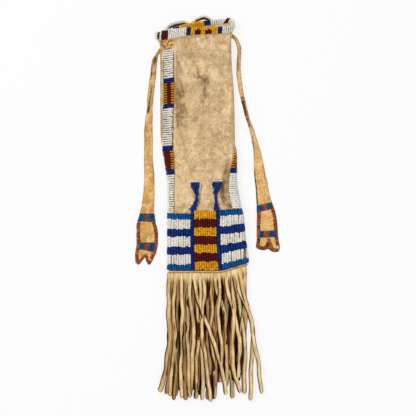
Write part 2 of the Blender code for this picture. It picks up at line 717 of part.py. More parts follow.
def build_thong():
    """The hanging thong: a strap on edge that bows away from the back lip twice."""
    x = np.linspace(LOOPS[0][0], LOOPS[-1][1], 21)
    seat = mouth_line(x) + lip_step(x) + RIM_HEIGHT / 2 + GAP + THONG_THICK / 2
    bow = np.zeros_like(x)
    for start, end, height in LOOPS:
        bow += height * np.sin(math.pi * np.clip((x - start) / (end - start), 0, 1)) ** 2
    z = np.full_like(x, THONG_WIDTH / 2 + GAP)
    path = np.stack([x, seat + bow, z], axis=-1)
    widths = np.full(len(x), THONG_WIDTH)

    def on_edge(d):
        return np.full_like(d, math.pi / 2)

    return build_strap("hanging_thong", path, widths, on_edge, THONG_THICK, (0.0, 0.0), 14, across=1)


def main():
    clear_scene()
    for name in ("pipe_bag", "cutters"):
        bpy.context.scene.collection.children.link(bpy.data.collections.new(name))
    build_pouch()
    build_panel()
    build_figures()
    build_strip("left", LEFT_STRIP_DROP, LEFT_SET, -1.0, 6, 1)
    build_strip("right", RIGHT_STRIP_DROP, RIGHT_SET, 1.0, 1, 5)
    build_rim()
    build_welt()
    middle_z = SEAM_LIFT + float(section(-1.0)[2])
    build_fringe("fringe_front", middle_z + STRAND_LAYER / 2, 2.5 * STRAND_LAYER, 11)
    build_fringe("fringe_back", middle_z - STRAND_LAYER / 2, 0.5 * STRAND_LAYER, 23)
    build_tie("tie_left", LEFT_TIE_ROOT, -1.0, LEFT_TIE, LEFT_TWIST)
    build_tie("tie_right", RIGHT_TIE_ROOT, 1.0, RIGHT_TIE, RIGHT_TWIST)
    build_thong()
    shift = Matrix.Translation((-REST_MIDDLE[0], -REST_MIDDLE[1], 0.0))
    for obj in bpy.data.objects:
        obj.data.transform(shift)


main()
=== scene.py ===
"""Looks of a hide pipe bag with beadwork, laid on its back, with its stage.

The pouch is a flattened tube. A point on it has two coordinates. s is the distance round the tube from the
middle of the front, positive to the right, on round the edge and under the back. t is the station along it:
1 at the mouth, 0 at the top of the beaded panel, -1 at the bottom seam. Places are worked out in metres from
a point level with the top of the panel, and every finished point is shifted by REST to the part's frame.
"""

import math

import bpy
import numpy as np
from bpy.props import FloatProperty, FloatVectorProperty, IntProperty, PointerProperty
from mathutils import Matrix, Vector


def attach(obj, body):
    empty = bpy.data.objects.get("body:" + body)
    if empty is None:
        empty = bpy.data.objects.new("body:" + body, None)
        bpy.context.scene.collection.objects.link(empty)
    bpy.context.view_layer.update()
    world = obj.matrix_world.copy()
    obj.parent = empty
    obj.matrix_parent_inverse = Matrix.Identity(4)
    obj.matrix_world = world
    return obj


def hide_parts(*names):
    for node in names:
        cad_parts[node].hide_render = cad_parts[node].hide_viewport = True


bl_info = {
    "name": "Beaded Pipe Bag",
    "version": (1, 0, 0),
    "blender": (4, 5, 0),
    "location": "View3D > Sidebar > Pipe Bag",
    "description": "Hide, bead strings, fringe and ties of a pipe bag, and the stage that it lies on",
    "category": "Object",
}

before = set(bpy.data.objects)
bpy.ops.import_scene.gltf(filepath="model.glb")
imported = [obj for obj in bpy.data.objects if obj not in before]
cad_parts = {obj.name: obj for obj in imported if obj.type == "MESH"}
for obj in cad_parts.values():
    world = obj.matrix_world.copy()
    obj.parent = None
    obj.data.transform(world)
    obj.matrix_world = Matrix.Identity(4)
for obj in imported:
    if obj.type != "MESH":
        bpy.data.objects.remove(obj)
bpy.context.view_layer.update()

# The photograph: metres to a pixel, pixels to a side, and the pixel at the panel's point of reference
PIXEL = 0.0011
PHOTO_SIDE = 416
ZERO_PIXEL = (206.5, 209.0)
REST = np.array((-0.009, 0.093, 0.0))

# Hide pouch
HIDE = 0.0014
BODY_LENGTH = 0.1994
MOUTH_TILT = 0.09
MOUTH_DROOP = 0.0045
DROOP_FROM = -0.012
DROOP_TO = -0.057
MOUTH_STEP = 0.0034
STEP_FROM = -0.06
STEP_TO = 0.01
FOOT_LIFT = 0.0028
SEAM_LIFT = 0.0026
REST_FROM = 0.02
REST_TO = 0.9
REST_RAMP = 0.12
LEFT_SIDE = ((-1.0, -0.0412), (0.0, -0.041), (0.12, -0.0412), (0.183, -0.0423), (0.272, -0.045),
             (0.361, -0.0488), (0.44, -0.0505), (0.86, -0.0508), (0.93, -0.0509), (0.955, -0.052),
             (1.0, -0.0553))
RIGHT_SIDE = ((-1.0, 0.0444), (-0.94, 0.0442), (-0.507, 0.0406), (0.005, 0.0364), (0.133, 0.0321),
              (0.24, 0.0314), (0.36, 0.0313), (0.605, 0.0303), (0.88, 0.0272), (0.93, 0.0275),
              (1.0, 0.03))
EDGE_RADIUS = ((-1.0, 0.0019), (-0.88, 0.0031), (-0.72, 0.004), (-0.5, 0.0044), (0.0, 0.0044),
               (0.5, 0.0046), (0.9, 0.0054), (1.0, 0.0065))
CROWN = ((-1.0, 0.0004), (-0.88, 0.0012), (-0.72, 0.0017), (0.0, 0.002), (0.5, 0.0024), (1.0, 0.003))

# Station where the hide's inside ends, share of the way round that the front lip reaches from the middle
# and over which it ends, how deep it stands in the rim's roll, and height from which the front shows stains
INNER_FOOT = -0.985
LIP_REACH = 0.27
LIP_RAMP = 0.03
LIP_DEPTH = 0.0022
FRONT_FROM = 0.0045
FRONT_RAMP = 0.004

# Bottom panel
LIGHT_LANE = 0.0063
WHITE_LANE = 0.0109
BLUE_LANE = 0.0088
PANEL_DROP = 0.005
SEAM_RISE = 0.0075
RISE_FROM = 0.012
RISE_TO = 0.046
PANEL_TOP = ((-0.017, -0.0735), (0.013, -0.022), (0.04, 0.006))
PANEL_FOOT = -0.985

# Strings of the panel: station just under its top, where the centre block starts, its colours, strings and
# beads on each, share of its room that a string fills at the sides and in the centre, how far it strays, how
# far its ends lean in the first share of the way round and after that
TOP_STATION = -0.02
CENTRE_TOP = -0.027
CENTRE_COLOURS = ("yellow", "maroon") * 3 + ("yellow",)
CENTRE_STRINGS = 10
CENTRE_BEADS = 6
SIDE_SNUG = (0.84, 0.99)
CENTRE_SNUG = (0.88, 1.0)
STRING_STRAY = 0.00012
STRING_LEAN = (0.00045, 0.0001)
LEAN_UNTIL = 0.4
DIVIDER_WIDTH = 0.0039
PANEL_HEIGHT = PANEL_DROP + 2 * LIGHT_LANE + 3 * WHITE_LANE + 2 * BLUE_LANE
LANES = (("light_blue", LIGHT_LANE, 4), ("white", WHITE_LANE, 7), ("blue", BLUE_LANE, 6),
         ("white", WHITE_LANE, 7), ("blue", BLUE_LANE, 6), ("white", WHITE_LANE, 7),
         ("light_blue", LIGHT_LANE, 4))
LOST_STRING = (244.6, 255.5)
BARE_SPOT = ((245.3, 255.5), 2.2, 5.0)

# Hourglass figures with their dividers: station, middle and half width
LEFT_FIGURE = ((PANEL_FOOT, -0.0147, DIVIDER_WIDTH / 2), (-0.5, -0.0155, DIVIDER_WIDTH / 2),
               (-0.024, -0.0156, DIVIDER_WIDTH / 2), (0.0, -0.0147, 0.0037), (0.022, -0.0128, 0.0028),
               (0.06, -0.011, 0.0017), (0.088, -0.0112, 0.0022), (0.125, -0.0121, 0.0045),
               (0.149, -0.0123, 0.0049))
RIGHT_FIGURE = ((PANEL_FOOT, 0.0154, DIVIDER_WIDTH / 2), (-0.5, 0.0132, DIVIDER_WIDTH / 2),
                (-0.024, 0.0121, DIVIDER_WIDTH / 2), (0.0, 0.0111, 0.0036), (0.022, 0.0108, 0.0024),
                (0.045, 0.0107, 0.001), (0.07, 0.0102, 0.0012), (0.092, 0.0106, 0.0026),
                (0.125, 0.0115, 0.0052), (0.151, 0.0118, 0.0056))
FIGURE_PITCH = 0.0019
FIGURE_BEAD = 0.0016
FIGURE_SNUG = 0.93
OUTLINE_BEAD = 0.0015
OUTLINE_STEP = 0.0016
OUTLINE_TOP = 0.0038
OUTLINE_TOP_BEADS = 8
OUTLINE_SIDE_BEADS = 5
OUTLINE_TOP_HEIGHT = 0.0018
OUTLINE_SIDE_HEIGHT = 0.0016

# Side strips
STRIP_WIDTH = 0.0115
LEFT_STRIP_DROP = 0.0232
RIGHT_STRIP_DROP = 0.0215
STRIP_BEADS = 9
STRIP_PITCH = 0.0025
STRIP_ROWS = {"white": 0.0108, "blue": 0.0114, "yellow": 0.0132}
STRIP_SNUG = {"white": (0.74, 0.94), "yellow": (0.52, 0.76), "maroon": (0.92, 1.0), "blue": (0.9, 1.0)}
STRIP_FIELDS = (("white", 0.0326), ("blue", 0.005), ("yellow", 0.0236), ("blue", 0.004),
                ("white", 0.0416), ("blue", 0.0052), ("yellow", 0.0209), ("blue", 0.0055),
                ("white", 0.0418))
LEFT_SET = ((-0.08, 0.002), (0.12, 0.0022), (0.18, 0.0039), (0.25, 0.0057), (0.33, 0.0078),
            (0.44, 0.0109), (0.55, 0.0111), (0.62, 0.0124), (0.72, 0.0123), (0.8, 0.012), (0.93, 0.013))
RIGHT_SET = ((-0.03, 0.0044), (0.015, 0.0046), (0.055, 0.0058), (0.105, 0.005), (0.16, 0.0034),
             (0.22, 0.0018), (0.27, -0.0012), (0.315, -0.0046), (0.335, -0.0085), (0.4, -0.0104),
             (0.93, -0.0104))
STRIPS = ((-1.0, LEFT_STRIP_DROP, LEFT_SET), (1.0, RIGHT_STRIP_DROP, RIGHT_SET))

# Beads of a strip's row: first bead, how many, colour. The left strip's second yellow field is folded
# over the edge, and its white rows break in two where they turn.
YELLOW_RUNS = ((0, 3, "yellow"), (3, 3, "maroon"), (6, 3, "yellow"))
# In the folded field beads 1 and 2 are maroon instead of yellow: painted shade where the field turns over the
# edge.
FOLDED_RUNS = ((0, 1, "yellow"), (1, 5, "maroon"), (6, 3, "yellow"))
TURNED_RUNS = ((0, 4, "white"), (4, 5, "white"))
FOLDED_FIELD = 6
LAST_FIELD = 8

# Rim
RIM_HEIGHT = 0.0105
RIM_THICK = 0.0052
RIM_START = -0.0378
RIM_BEADS = 17
RIM_STEP = 5
RIM_SHIFT = 0.0011
FRONT_ROLL = ((-0.052, 1.0), (-0.035, 1.0), (-0.02, 0.9), (0.012, 0.8), (0.03, 0.74))
BACK_ROLL = ((-0.052, 0.9), (-0.03, 0.62), (0.03, 0.58))
RIM_FIELDS = (("maroon", 0.0066), ("white", 0.0209), ("blue", 0.0044), ("yellow", 0.0297),
              ("blue", 0.0044), ("white", 0.0259), ("maroon", 0.0057), ("white", 0.0154),
              ("blue", 0.006), ("yellow", 0.029), ("blue", 0.0055), ("white", 0.0333))
RIM_FIGURES = (0.0035, 0.015)
RIM_FIGURE_WIDTH = 0.006
RIM_INSET = 0.001

# Strings of the rim: angle of the first bead, slant and how far it strays, a stronger slant with its place
# and reach, the loose stretches with their middle, reach and ramp and how loose they are, angles of the tops
# and foot of the figures, share of its room that a string fills, how far the hide under the strings is drawn
# in, and where every second string is lost
RIM_FIRST = -140
RIM_SLANT = 0.0004
RIM_STRAY = 0.00015
RIM_TWIST = (0.0024, 0.058, 0.01)
RIM_LOOSE = (-0.0125, 0.036, 0.006)
RIM_LOOSENESS = 0.36
RIM_PEAKS = (29, 17)
RIM_FOOT = -100
RIM_SNUG_WHITE = (0.8, 0.97)
RIM_SNUG = (0.9, 1.0)
CORE_INSET = 0.0013
LOST_RIM_END = -0.0508

# Clearance, and the rolled edge at the seam: its radius, how far it passes the flat part, its height over
# the middle of the section and the stitches' height, then their spacing and half sizes
GAP = 0.0003
WELT_ROLL = 0.0008
WELT_END = 0.0038
WELT_LIFT = 0.0008
STITCH_LIFT = 0.0012
STITCH_STEP = 0.0024
STITCH = (0.00085, 0.0004, 0.0003)

# Ties: angle of the turn, how far the root is tucked under the edge, its own turn and reach, the distance
# over which the tie comes down, how much it stands on edge at first and how far, the reach of the turn, and
# how ragged the cut is. Then line of the middle and width, from the mouth down to the tab's end.
TIE_TURN = math.radians(32)
TIE_TUCK = 0.0036
TUCK_TURN = math.radians(35)
TUCK_REACH = 0.009
TIE_FALL = 0.06
TIE_STAND = 0.6
STAND_REACH = 0.012
TWIST_RISE_REACH = 0.006
TWIST_REACH = 0.008
TIE_RAGGED = 0.00018
LEFT_TIE_ROOT = 0.922
LEFT_TIE = ((-0.0519, 0.0266, 0.0034), (-0.0538, 0.0292, 0.0033), (-0.0553, 0.0322, 0.0036),
            (-0.0568, 0.0364, 0.0058), (-0.0578, 0.0421, 0.006), (-0.0583, 0.0487, 0.0063),
            (-0.06, 0.0619, 0.0066), (-0.0616, 0.0751, 0.0068), (-0.0624, 0.0874, 0.0066),
            (-0.0633, 0.1015, 0.008), (-0.0638, 0.1147, 0.0092), (-0.0638, 0.1455, 0.0096),
            (-0.063, 0.1631, 0.011), (-0.0633, 0.1807, 0.0122), (-0.064, 0.1914, 0.0132),
            (-0.065, 0.2014, 0.0148), (-0.0655, 0.2079, 0.0178), (-0.0662, 0.2165, 0.0216),
            (-0.0655, 0.2225, 0.0232), (-0.065, 0.2302, 0.0239), (-0.0653, 0.239, 0.0232),
            (-0.0664, 0.2445, 0.0228), (-0.0681, 0.25, 0.0214), (-0.069, 0.2555, 0.0192),
            (-0.0693, 0.261, 0.0172))
LEFT_TWIST = 0.0874
RIGHT_TIE_ROOT = 0.937
RIGHT_TIE = ((0.0318, 0.0126, 0.004), (0.0346, 0.0179, 0.0042), (0.0361, 0.0245, 0.0042),
             (0.0356, 0.0339, 0.0044), (0.0353, 0.0474, 0.0048), (0.0365, 0.0594, 0.005),
             (0.0391, 0.0751, 0.0046), (0.0424, 0.0884, 0.0044), (0.0457, 0.1015, 0.0042),
             (0.049, 0.1103, 0.0044), (0.0525, 0.1234, 0.006), (0.0557, 0.1367, 0.0076),
             (0.0576, 0.1521, 0.0112), (0.059, 0.1631, 0.0126), (0.0605, 0.1719, 0.0138),
             (0.0621, 0.1851, 0.015), (0.0644, 0.1983, 0.0188), (0.066, 0.2071, 0.0214),
             (0.0665, 0.2159, 0.0226), (0.0668, 0.2247, 0.0234), (0.067, 0.2313, 0.0238),
             (0.0673, 0.2357, 0.025), (0.0673, 0.2401, 0.0266), (0.0668, 0.2438, 0.0262),
             (0.0665, 0.2455, 0.024))
RIGHT_TWIST = 0.1059

# Brown streaks on the ties, some of them painted shade at the twists, the tab tips and the right tab's notch:
# line in pixels of the photograph, width and strength
LEFT_SOIL_AND_SHADE = ((((151.6, 88), (149.8, 100), (148.6, 111)), 0.0009, 1.0),
             (((148.6, 108), (148.3, 112)), 0.0014, 1.0), (((136.8, 256), (138.6, 263)), 0.0012, 1.6),
             (((155.4, 58), (154.4, 64)), 0.0015, 0.8), (((152.2, 66), (151.2, 77)), 0.0006, 0.8),
             (((153.8, 166), (153.4, 186)), 0.0006, 0.6), (((145.0, 120), (144.6, 150)), 0.0006, 0.4))
RIGHT_SOIL_AND_SHADE = ((((242.3, 98), (244.3, 108), (246.5, 117), (248.8, 126)), 0.0013, 2.4),
              (((254.3, 172), (256.3, 190), (256.8, 200), (257.1, 212)), 0.0008, 2.0),
              (((268.6, 244.5), (269.3, 250.5)), 0.0024, 2.6), (((257.5, 249.5), (264.5, 250)), 0.0008, 2.0),
              (((238.0, 56), (238.0, 70)), 0.001, 0.5), (((252.6, 136), (254.4, 158)), 0.0007, 0.7),
              (((262.0, 165), (266.6, 186)), 0.0006, 0.4))

# Tabs: how far each is cut back at shares of its width, and their bands: top, foot, then the shares where
# blue starts, red starts, red ends and blue ends, and how much the band rises to the right
LEFT_FORK = ((0.0, 0.004), (0.05, 0.002), (0.12, 0.0004), (0.19, 0.0), (0.27, 0.0008), (0.36, 0.003),
             (0.46, 0.0058), (0.54, 0.0082), (0.59, 0.0088), (0.64, 0.0062), (0.7, 0.0032), (0.76, 0.0012),
             (0.84, 0.0004), (0.92, 0.001), (0.97, 0.0024), (1.0, 0.005))
RIGHT_FORK = ((0.0, 0.003), (0.05, 0.0008), (0.14, 0.0), (0.34, 0.0), (0.43, 0.0008), (0.5, 0.002),
              (0.555, 0.0024), (0.61, 0.0016), (0.68, 0.0006), (0.78, 0.0), (0.9, 0.0004), (0.96, 0.0012),
              (1.0, 0.003))
RIGHT_NOTCH = ((0.0, 0.003), (0.05, 0.0008), (0.14, 0.0), (0.36, 0.0002), (0.42, 0.0014), (0.46, 0.0044),
               (0.5, 0.008), (0.54, 0.0112), (0.58, 0.009), (0.62, 0.0054), (0.67, 0.0018), (0.74, 0.0002),
               (0.9, 0.0004), (0.96, 0.0012), (1.0, 0.003))
LEFT_BANDS = ((-0.005, -0.0138, 0.02, 0.41, 0.61, 0.98, 0.0012),
              (-0.037, -0.0456, 0.13, 0.4, 0.59, 0.88, 0.0012))
RIGHT_BANDS = ((0.0056, -0.0014, 0.03, 0.37, 0.62, 0.97, 0.0008),
               (-0.024, -0.0311, 0.13, 0.35, 0.58, 0.85, 0.0))

# Tabs and their beads: length of the tab and of its edging, then inset, spacing, height and half sizes of
# the edging's beads, and spacing, height, half sizes and columns of the bands'
TAB_LENGTH = 0.05
EDGING_LENGTH = 0.047
EDGING_INSET = 0.0025
EDGING_STEP = 0.0016
EDGING_LIFT = 0.0007
EDGING_BEAD = (0.00086, 0.0016, 0.0008)
BAND_STEP = 0.0015
BAND_LIFT = 0.001
BAND_BEAD = (0.00086, 0.0007)
BAND_COLUMNS = {"blue": 4, "red": 3}

# Hanging thong: two loops behind the back lip, place and width in pixels of the photograph
LOOPS = (((163.0, 31.0, 2.0), (166.8, 27.8, 2.2), (170.0, 25.3, 2.6), (173.5, 23.7, 2.8), (178.0, 22.5, 2.7),
          (182.5, 21.9, 2.4), (186.5, 22.3, 2.0), (190.0, 24.6, 2.0)),
         ((190.5, 24.5, 2.0), (194.0, 21.0, 2.0), (199.0, 17.8, 2.0), (204.0, 16.4, 2.0), (208.0, 17.4, 2.0),
          (211.0, 19.6, 2.0), (213.5, 22.5, 2.0)))

# Height, doming and thickness of the loops, and height, drop and thickness of the dark sheet of painted
# shadow inside them
LOOP_LIFT = 0.0024
LOOP_DOME = 0.0006
LOOP_THICK = 0.0018
SHADOW_SHEET_LIFT = 0.0016
SHADOW_SHEET_DROP = 0.003
SHADOW_SHEET_THICK = 0.001

# Fringe strands of the front row, in pixels of the photograph: the middle at each of these heights, then
# the middle and the height of the end. The order number says how high the strand lies in the heap.
STRAND_ROWS = (276.0, 289.5, 309.5, 334.5, 359.5)
FRONT_STRANDS = (
    (170.0, 168.6, 169.0, 169.6, 167.0, 160.2, 392.0, 2),
    (172.8, 171.8, 171.2, 171.8, 170.2, 166.0, 394.0, 1),
    (175.6, 174.8, 173.6, 174.8, 173.0, 169.8, 396.0, 2),
    (178.6, 177.8, 176.2, 177.4, 176.4, 174.2, 400.0, 1),
    (181.6, 181.8, 182.0, 181.4, 180.8, 181.2, 398.0, 3),
    (184.4, 184.6, 184.0, 185.2, 184.0, 185.6, 400.0, 1),
    (187.4, 187.8, 187.2, 187.6, 188.2, 190.0, 397.6, 2),
    (190.2, 189.6, 191.0, 193.6, 192.6, 189.6, 397.0, 3),
    (193.2, 195.2, 201.0, 210.4, 219.0, 225.8, 394.6, 5),
    (196.0, 196.4, 197.2, 198.6, 196.6, 195.6, 398.8, 2),
    (199.0, 200.2, 200.4, 201.4, 202.6, 202.6, 400.0, 3),
    (202.2, 204.2, 203.4, 201.6, 205.6, 210.6, 401.4, 4),
    (205.2, 204.8, 208.2, 206.4, 209.8, 207.6, 399.4, 1),
    (208.4, 210.4, 212.0, 210.0, 213.6, 214.6, 398.0, 2),
    (211.4, 211.8, 211.2, 215.0, 216.4, 213.4, 399.0, 1),
    (215.0, 216.4, 223.6, 226.2, 226.4, 227.4, 386.0, 2),
    (218.4, 220.0, 218.2, 220.2, 221.8, 219.6, 382.0, 3),
    (222.6, 225.0, 227.2, 225.2, 227.0, 226.2, 380.0, 1),
    (226.0, 227.4, 233.2, 238.6, 239.8, 237.6, 378.0, 4),
    (229.6, 231.2, 233.0, 232.6, 230.4, 232.4, 398.4, 2),
    (233.0, 236.2, 240.2, 243.8, 244.4, 244.0, 393.6, 3),
    (235.6, 238.6, 248.0, 253.0, 257.4, 261.8, 393.4, 5),
    (238.8, 242.2, 248.6, 252.6, 251.8, 250.0, 400.4, 3),
    (231.5, 232.6, 233.4, 233.2, 232.0, 240.6, 392.6, 4),
    (241.6, 241.4, 245.0, 243.6, 242.0, 241.8, 356.0, 2),
    (244.0, 244.6, 243.8, 241.0, 239.0, 238.6, 374.0, 2),
)
# Painted shade for each order number: the lower a strand lies in the heap, the darker it is painted.
STRAND_DEPTH = (1.0, 0.6, 0.25, 0.1, 0.0, 0.0)
STRAY_RIGHT = (245.0, 244.6, 246.4, 244.4, 244.2, 243.0, 372.0, 2)

# Strands deeper in the heap, in pixels too: how many, place and step at the root, place and step at the
# end, the heights between which they end, and their order number. The last few end higher by the lag.
FRONT_FILLING = (8, 176.0, 8.6, 176.0, 7.4, (380, 396), 1)
BACK_FILLING = (18, 170.0, 4.3, 173.0, 3.85, (384, 396), 0)
FILLING_END_STRAY = 1.5
FILLING_SWAY = 1.2
FILLING_LAG = 12.0
LEAST_ROW_STEP = 2.0

# Shape of a strand: height of its root over the section's middle, how far that is below the welt, places
# along it and across it, heights of both heaps, how much wider a back strand is, rise for each order number,
# least height, width of its waves and kinks, height of its swells, and angle of its rolls and twists
FRONT_ROOT = 0.0006
BACK_ROOT = -0.0012
ROOT_DROP = 0.0007
STRAND_POINTS = 72
STRAND_ACROSS = (-1.0, -0.82, -0.5, 0.0, 0.5, 0.82, 1.0)
FRONT_LIE = 0.003
BACK_LIE = 0.0006
BACK_SPREAD = 1.5
HEAP_STEP = 0.00065
LEAST_LIE = 0.0009
STRAND_WAVE = 0.0005
STRAND_KINK = 0.0002
STRAND_SWELL = 0.0006
STRAND_ROLL = 0.5
STRAND_TWIST = 0.55

# The uncut bands over the strands: how far they pass the flat part, height, how much they sink over it,
# half thickness as a share of a strand's, and depth and length of the pleats
HEADER_END = 0.0014
HEADER_HEIGHT = 0.0052
HEADER_SINK = 0.001
HEADER_THICK = 0.35
PLEAT = 0.0003
PLEAT_LENGTH = 0.0034
HEADER_SHIFTS = (("front", 0.0002), ("back", -0.0014))

# Crease in the right of the front, in pixels of the photograph
CREASE = ((229.6, 149), (227.6, 162), (225.4, 172), (223.4, 182), (222.5, 189), (221.8, 194.5),
          (223.0, 198.5), (225.2, 202), (228.3, 205), (230.5, 206.8))

# Folds along both edges of the front, in pixels of the photograph
LEFT_FOLD = ((175.2, 49), (174.8, 110), (175.2, 150), (176.5, 200))
RIGHT_FOLD = ((231.5, 148), (230.8, 180), (231.5, 202))

# Wrinkles of the front: line in pixels of the photograph, width, depth and strength of the soil and painted
# shade in it
WRINKLES = (
    (((197.4, 66.5), (198.0, 71.5)), 0.0009, 0.0004, 0.3),
    (((198.0, 71.5), (198.7, 77.0)), 0.001, 0.0009, 1.0),
    (((190.6, 77.6), (194.5, 77.2), (198.5, 78.9), (202.5, 78.4)), 0.0009, 0.0006, 0.65),
    (((192.5, 72.5), (196.5, 77.0)), 0.0008, 0.0004, 0.35),
    (((200.5, 76.5), (205.0, 76.0), (208.0, 79.5), (208.6, 84.5)), 0.001, 0.0005, 0.55),
    (((203.6, 84), (204.4, 90), (205.4, 97)), 0.002, 0.0005, 0.8),
    (((206.3, 160), (204.4, 171)), 0.0014, 0.0008, 0.45),
    (((201.9, 186), (199.6, 195), (198.8, 207)), 0.0015, 0.0007, 0.6),
    (((196, 166), (190, 176)), 0.0016, 0.0006, 0.2),
    (((214, 160), (220, 169)), 0.0016, 0.0006, 0.2),
    (((178, 62), (186, 78), (189, 92)), 0.0012, 0.0005, 0.4),
    (((224, 84), (219, 100), (221, 116)), 0.0012, 0.0005, 0.3),
    (((176.5, 72), (182, 86), (185.5, 100)), 0.0011, 0.0005, 0.45),
    (((177, 90), (183, 101), (188, 117)), 0.0011, 0.0005, 0.4),
    (((189.5, 57), (195, 65), (198, 70)), 0.001, 0.0004, 0.35),
    (((207, 58), (215, 63.5), (223, 65)), 0.001, 0.0005, 0.35),
    (((215, 64), (222, 73), (227.5, 86)), 0.0011, 0.0005, 0.45),
    (((198, 96), (204, 104), (203, 112)), 0.001, 0.0004, 0.3),
    (((179, 130), (184, 141), (187, 152)), 0.0012, 0.0004, 0.3),
    (((212, 96), (208, 108), (212, 118)), 0.0011, 0.0003, 0.22),
    (((186, 47), (191, 52), (190, 58)), 0.001, 0.0004, 0.35),
    (((214, 44), (219, 50), (227, 53)), 0.001, 0.0004, 0.35),
    (((178, 176), (183, 184), (181, 196)), 0.0012, 0.0004, 0.22),
    (((208, 176), (212, 184), (209, 196)), 0.0012, 0.0004, 0.22),
)

# Ripples of the hide: height, then seed, number of waves, shortest and longest, and for the slanting ones
# their heading and how far it wanders
RIPPLES = ((0.00055, 5, 14, 0.01, 0.034), (0.00024, 6, 26, 0.0028, 0.009))
SLANTING_RIPPLES = (0.00045, 7, 12, 0.006, 0.013, math.radians(25), 0.35)

# Other folds of the front: line, width and height
FOLDS = ((CREASE[2:], 0.0018, -0.0024), (CREASE[:3], 0.0022, -0.0008), (RIGHT_FOLD, 0.0017, 0.0009),
         (LEFT_FOLD, 0.0014, 0.0009))

# Dents and swellings of the front: middle, reach across and along, all in pixels, and height in metres
DENTS = (((203.8, 80.5), 4.2, 6.5, -0.0017), ((206, 90), 4.5, 8, -0.0008), ((197, 91), 5, 7, 0.0008),
         ((207, 120), 6, 9, 0.0007), ((181, 112), 5, 12, -0.0009))
SLANTING_PATCH = ((184, 95), 18, 60)
WORN_PATCH = ((166.8, 43.4), 5.6, 5.0)

# Stained and rubbed places of the front, and painted shade: spots as dents are given, lines as folds are,
# with a strength
# Painted shade among them: the dimple, along the crease and in its valley, and down the left margin.
STAIN_AND_SHADE_SPOTS = (
    ((204.8, 81.5), 4.4, 5.4, 1.0), ((180.5, 110), 5, 15, 0.85), ((198, 86), 6, 9, 0.3),
    ((181, 92), 5, 9, 0.45), ((184, 58), 10, 14, 0.28), ((182, 124), 6, 7, 0.35), ((214, 100), 9, 14, 0.2),
    ((214, 132), 11, 10, 0.22), ((196, 122), 9, 8, 0.25), ((203, 55), 20, 6, 0.22), ((224, 62), 7, 9, 0.25),
    ((192, 160), 9, 8, 0.2), ((227, 199), 4, 6, 0.35), ((173, 41), 4, 3, 0.6),
    ((205.2, 139), 0.8, 0.8, 0.9), ((225, 154.3), 0.8, 0.8, 0.9), ((206.3, 38.5), 0.9, 1.4, 0.9),
)
STAIN_AND_SHADE_STREAKS = (
    (((176.5, 52), (177, 75), (176.5, 100), (177.5, 128)), 0.0014, 0.45),
    (CREASE[3:], 0.0018, 1.4), (CREASE[1:4], 0.0017, 0.45),
    (((229.0, 166), (227.4, 180), (226.6, 192), (229.0, 202)), 0.0036, 0.7),
    (((163.5, 48.6), (171.5, 48.2)), 0.0007, 1.0), (((234, 42), (234.5, 60), (234.5, 100)), 0.0013, 0.5),
    (((163, 40), (200, 36.5), (234, 33)), 0.0016, 0.45), (((160.8, 50), (160.6, 145)), 0.0015, 0.8),
    (((175, 206), (190, 208.5)), 0.0012, 0.35),
)
PALE_SPOTS = (
    ((198.5, 92), 5, 5, 0.45), ((206, 121), 4, 7, 0.4), ((217, 172), 5, 10, 0.35),
    ((184, 192), 8, 12, 0.45), ((206, 190), 4, 12, 0.3), ((218, 75), 8, 14, 0.4),
    ((175.5, 47), 2.5, 5, 0.6), ((188, 70), 7, 10, 0.3),
)
# The streaks along both folds are painted highlights on their ridges.
PALE_AND_HIGHLIGHT_STREAKS = ((LEFT_FOLD, 0.0013, 0.4), (RIGHT_FOLD, 0.0014, 0.6),
                (((182, 62), (189, 92)), 0.0014, 0.35))

# Share of each bead colour that its darkest beads keep, and the range of tones, from those at 0 to the full
# colour at 1, that the beads of each field take
BEAD_DEPTH = {"white": (0.8, 0.78, 0.74), "yellow": (0.62, 0.42, 0.6), "maroon": (0.55, 0.5, 0.5),
              "blue": (0.35, 0.45, 0.55), "light_blue": (0.35, 0.45, 0.55)}
SIDE_TONES = {"light_blue": (0.1, 1.0), "white": (0.5, 1.0), "blue": (0.1, 1.0)}
CENTRE_TONES = {"yellow": (0.1, 1.0), "maroon": (0.1, 1.0)}
FIGURE_TONES = {"blue": (0.1, 0.8), "white": (0.0, 1.0)}
STRIP_TONES = {"yellow": (0.0, 0.35), "blue": (0.0, 0.5), "maroon": (0.1, 0.9)}
RIM_TONES = {"white": (0.1, 1.0), "yellow": (0.1, 1.0), "blue": (0.0, 0.4), "maroon": (0.2, 0.7)}

# Colours of small places: soil and painted shade under the beads, the worn patch by the rim, soil and painted
# shade of the ties and the painted shade along their edges, sinew of the welt, the pale thong and the painted
# shadow inside its loops. Then depth and roughness of the beads on the tabs.
SOIL_AND_SHADE_UNDER_BEADS = (0.035, 0.016, 0.007)
WORN_DARK = (0.15, 0.055, 0.01)
WORN_LIGHT = (0.7, 0.39, 0.125)
TIE_SOIL_AND_SHADE = (0.06, 0.02, 0.004)
TIE_EDGE_SHADE = (0.055, 0.016, 0.004)
SINEW = ((0.16, 0.065, 0.018), (0.36, 0.18, 0.06))
PALE_THONG = ((0.86, 0.8, 0.7), (0.5, 0.41, 0.3))
LOOP_SHADE_COLOURS = ((0.02, 0.009, 0.006), (0.055, 0.025, 0.012))
TAB_EDGE_DEPTH = 0.16
TAB_BAND_DEPTH = 0.35
TAB_ROUGHNESS = 0.45

# Stage: width of the camera's sensor in millimetres, how far it sees, the lamps with place, size and share
# of the key light, half side of the floor, and how much of the floor's white is its own glow
SENSOR = 36.0
FAR_CLIP = 50.0
LAMPS = (("key_lamp", (-0.75, 0.55, 1.5), 1.1, 1.0), ("fill_lamp", (0.9, -0.9, 1.3), 1.4, 0.2))
FLOOR_HALF = 2.5
FLOOR_GLOW = 0.8
WHITE = (1.0, 1.0, 1.0, 1.0)


# Curves and the pouch's form

